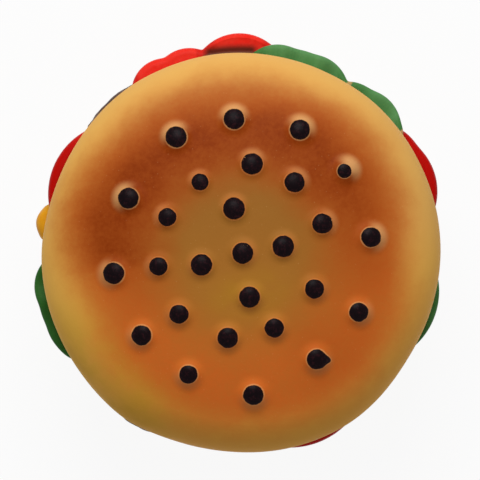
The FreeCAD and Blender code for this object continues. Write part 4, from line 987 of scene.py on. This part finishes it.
def makePattyCrust():  # the minced edge round the deck, open at the hinge
    gap = math.radians(patty["open"])
    rows, columns = patty["rows"], patty["columns"]
    turns = math.pi / 2 + gap + (2 * math.pi - 2 * gap) * np.arange(columns) / (columns - 1)
    reach = lobeReach(turns, patty)
    half = (patty["high"] - patty["low"]) / 2
    mid = (patty["high"] + patty["low"]) / 2
    calm = 1 - patty["calm"] * smoothShare(reach, *patty["calmFrom"])  # the long lumps are pressed smooth
    verts, rough = [], []
    for row in range(rows):  # a fat rounded edge, flat inside
        a = math.pi * row / (rows - 1)
        bulge = math.sin(a) ** patty["fat"]
        radius = patty["inner"] + (reach - patty["inner"]) * bulge
        verts.extend(ringVerts(radius, mid + half * math.cos(a), turns))
        rough.extend(bulge * calm)
    faces = loopFaces(rows, columns, closeColumns=False)
    faces.append([row * columns for row in range(rows)])
    faces.append([row * columns + columns - 1 for row in reversed(range(rows))])
    obj = meshObject("pattyCrust", verts, faces, pattyVinyl)
    floatMark(obj, "rimShare", rough)
    applyTree(obj, makeMinceTree(), {"Coarse": patty["coarse"] * mm, "Fine": patty["fine"] * mm,
                                     "Seed": patty["seed"], "Material": pattyVinyl})
    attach(obj, "base")


makePattyCrust()
print("patty crust formed")


# the head's profile is given as shares of its radius and height; seat is the height of its bearing face
screwHead = {"radius": 2.55, "height": 1.55, "cross": 1.5, "slot": 0.42, "deep": 0.75, "sides": 40,
             "profile": ((1.0, 0.0), (1.0, 0.45), (0.95, 0.72), (0.82, 0.90), (0.62, 0.99)), "taper": 0.72,
             "seat": 1.6, "rim": 2.6, "turn": 0.6, "turnMost": 2.6, "earRing": 36.0, "baseRing": 52.0}


def makeScrewHead():  # a pan head that faces down, with its bearing face at zero
    bm = bmesh.new()
    sides, radius, height = screwHead["sides"], screwHead["radius"] * mm, screwHead["height"] * mm
    turns = [2 * math.pi * side / sides for side in range(sides)]
    rings = [[bm.verts.new((radius * share * math.cos(a), radius * share * math.sin(a), -height * drop))
              for a in turns] for share, drop in screwHead["profile"]]
    # the cross: an outline of twelve corners, sunk into the face
    arm, half = screwHead["cross"] * mm, screwHead["slot"] * mm
    quarter = [(arm, -half), (arm, half), (half, half)]
    corners = quarter + [(-y, x) for x, y in quarter]
    corners += [(-x, -y) for x, y in corners]
    taper, bottom = screwHead["taper"], screwHead["deep"] * mm - height
    mouth = [bm.verts.new((x, y, -height)) for x, y in corners]
    floor = [bm.verts.new((x * taper, y * taper, bottom)) for x, y in corners]
    for first, second in (*zip(rings, rings[1:]), (mouth, floor)):
        for side, after in zip(range(len(first)), (*range(1, len(first)), 0)):
            bm.faces.new((first[side], second[side], second[after], first[after]))
    bm.faces.new(rings[0])
    bm.faces.new(floor)
    # the flat between the cross and the last ring
    edges = [e for e in bm.edges if all(v in rings[-1] for v in e.verts) or all(v in mouth for v in e.verts)]
    bmesh.ops.triangle_fill(bm, use_beauty=True, edges=edges)
    bmesh.ops.recalc_face_normals(bm, faces=bm.faces)
    head = addMesh("screwHead", [])
    bm.to_mesh(head.data)
    bm.free()
    return head


def makeScrewTree():
    tree, bench, given, made = newTree("setScrews", "Geometry", {
        "Geometry": "Geometry", "Head": "Object", "Turn": 0.6, "Seed": "Int", "Material": "Material"},
        "Geometry")
    info = bench.add("GeometryNodeObjectInfo", transform_space="RELATIVE")
    bench.put(info.inputs["Object"], given["Head"])
    spin = bench.add("FunctionNodeRandomValue", data_type="FLOAT")
    bench.put(spin.inputs[2], 0.0)
    bench.put(spin.inputs[3], bench.times(given["Turn"], screwHead["turnMost"]))
    bench.put(spin.inputs["Seed"], given["Seed"])
    sown = bench.add("GeometryNodeInstanceOnPoints")
    bench.putAll(sown, Points=given["Geometry"], Instance=info.outputs["Geometry"],
                 Rotation=bench.joined(0.0, 0.0, spin.outputs[1]))
    lastSteps(bench, made, sown.outputs[0], given["Material"])
    return tree


def setScrews(name, node, body, spots, seed):
    obj = addMesh(name, spots)
    applyTree(obj, screwTree, {"Head": headShape, "Turn": screwHead["turn"], "Seed": seed,
                               "Material": brightSteel})
    setSmooth(obj.data, False)
    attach(obj, body)
    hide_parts(node)


def ringSpots(radius, height):  # four places on a ring
    turns = [math.radians(a) for a in (45, 135, 225, 315)]
    return [(radius * mm * math.cos(a), radius * mm * math.sin(a), height) for a in turns]


screwTree = makeScrewTree()
headShape = makeScrewHead()
headSeat = screwHead["seat"] * mm
earSpots = ringSpots(screwHead["earRing"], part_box("ear_plate_screws")[0].z + headSeat)
baseSpots = ringSpots(screwHead["baseRing"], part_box("base_screws")[0].z + headSeat)
bracketLow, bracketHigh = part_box("bracket_screws")
bracketX = (bracketLow.x + screwHead["rim"] * mm, bracketHigh.x - screwHead["rim"] * mm)
bracketSpots = [(x, (bracketLow.y + bracketHigh.y) / 2, bracketLow.z + headSeat) for x in bracketX]
setScrews("earScrews", "ear_plate_screws", "lid", earSpots, 4)
setScrews("baseScrews", "base_screws", "base", baseSpots, 9)
setScrews("bracketScrews", "bracket_screws", "lid", bracketSpots, 2)
bpy.data.objects.remove(headShape)
print("screws set")


# capital is the height of a figure in the font, which draws its star small
figure = {"tall": 5.4, "thick": 0.12, "sink": 0.04, "capital": 0.70, "starGrowth": 1.25}


def makeFigure(node, sign):
    name = "figure_" + node
    text = bpy.data.curves.new(name, "FONT")
    text.body = sign
    holder = addObject(name, text)
    bpy.context.view_layer.update()
    mesh = bpy.data.meshes.new_from_object(holder.evaluated_get(bpy.context.evaluated_depsgraph_get()))
    bpy.data.objects.remove(holder)
    bpy.data.curves.remove(text)
    bm = bmesh.new()
    bm.from_mesh(mesh)
    bmesh.ops.remove_doubles(bm, verts=bm.verts, dist=1e-5)
    xs = [v.co.x for v in bm.verts]
    ys = [v.co.y for v in bm.verts]
    scale = figure["tall"] * mm / figure["capital"]
    if sign == "*":
        scale *= figure["starGrowth"]
    midX, midY = (min(xs) + max(xs)) / 2, (min(ys) + max(ys)) / 2
    low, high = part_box(node)
    keyX, keyY = (low.x + high.x) / 2, (low.y + high.y) / 2
    base = high.z - figure["sink"] * mm
    for v in bm.verts:
        v.co = Vector(((v.co.x - midX) * scale + keyX, (v.co.y - midY) * scale + keyY, base))
    grown = bmesh.ops.extrude_face_region(bm, geom=list(bm.faces))
    for item in grown["geom"]:
        if isinstance(item, bmesh.types.BMVert):
            item.co.z += figure["thick"] * mm
    bmesh.ops.recalc_face_normals(bm, faces=bm.faces)
    bm.to_mesh(mesh)
    bm.free()
    mesh.materials.clear()
    mesh.materials.append(keyInk)
    obj = addObject(name, mesh)
    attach(obj, node + "_body")


for node, sign in keyFigures.items():
    makeFigure(node, sign)
print("key figures printed")


studio = {
    "viewWide": 156.0, "viewLevel": 60.3, "viewHigh": 5000.0, "viewPlace": (-0.36, 4.26), "viewEnd": 20.0,
    "sensor": 36.0, "lampPower": 11.0, "lampPlace": (-0.06, 0.80, 0.95), "lampAim": (0, 0, 0.06),
    "lampSize": 0.75, "sky": 0.36, "floorGlow": 0.92, "floorDrop": 0.2, "floorHalf": 6.0,
    "floorTone": (0.86, 0.86, 0.86, 1), "floorLook": {"rough": 0.9, "specular": 0.1},
}


def seenDirectly(bench):  # 1 for what the camera sees, also in a mirror or through glass
    path = bench.add("ShaderNodeLightPath").outputs
    straight = bench.calc("MAXIMUM", path["Is Camera Ray"], path["Is Glossy Ray"])
    return bench.calc("MAXIMUM", straight, path["Is Transmission Ray"])


def makeFloor():
    wide, level = studio["floorHalf"], -studio["floorDrop"] * mm
    corners = [(-wide, -wide, level), (wide, -wide, level), (wide, wide, level), (-wide, wide, level)]
    floor = addMesh("floor", corners, [(0, 1, 2, 3)])
    coat = Coat("paleFloor", studio["floorLook"])
    coat.skin.inputs["Base Color"].default_value = studio["floorTone"]
    glow = coat.add("ShaderNodeEmission")
    mixer = coat.add("ShaderNodeMixShader")
    coat.put(mixer.inputs[0], coat.times(seenDirectly(coat), studio["floorGlow"]))
    coat.put(mixer.inputs[1], coat.skin.outputs[0])
    coat.put(mixer.inputs[2], glow.outputs[0])
    coat.put(coat.out.inputs["Surface"], mixer.outputs[0])
    floor.data.materials.append(coat.mat)


def makeSky():
    world = bpy.data.worlds.new("studioSky")
    scene.world = world
    world.use_nodes = True
    world.node_tree.nodes.clear()
    bench = Bench(world.node_tree)
    sky = bench.add("ShaderNodeBackground")
    bench.put(sky.inputs["Strength"], bench.scaled(seenDirectly(bench), 1.0 - studio["sky"], studio["sky"]))
    bench.put(bench.add("ShaderNodeOutputWorld").inputs["Surface"], sky.outputs[0])


def makeLamp():
    data = bpy.data.lights.new("backLamp", "AREA")
    data.energy = studio["lampPower"]
    data.size = studio["lampSize"]
    lamp = addObject("backLamp", data)
    lamp.location = studio["lampPlace"]
    beam = Vector(studio["lampAim"]) - Vector(studio["lampPlace"])
    lamp.rotation_euler = beam.to_track_quat("-Z", "Y").to_euler()


def makeCamera():  # looks straight down, +Y is up
    data = bpy.data.cameras.new("camera")
    data.sensor_width = studio["sensor"]
    data.lens = studio["sensor"] * (studio["viewHigh"] - studio["viewLevel"]) / studio["viewWide"]
    data.clip_end = studio["viewEnd"]
    camera = addObject("camera", data)
    camera.location = [part * mm for part in (*studio["viewPlace"], studio["viewHigh"])]
    scene.camera = camera


makeFloor()
makeSky()
makeLamp()
makeCamera()
scene.view_settings.view_transform = "Standard"
print("studio set")
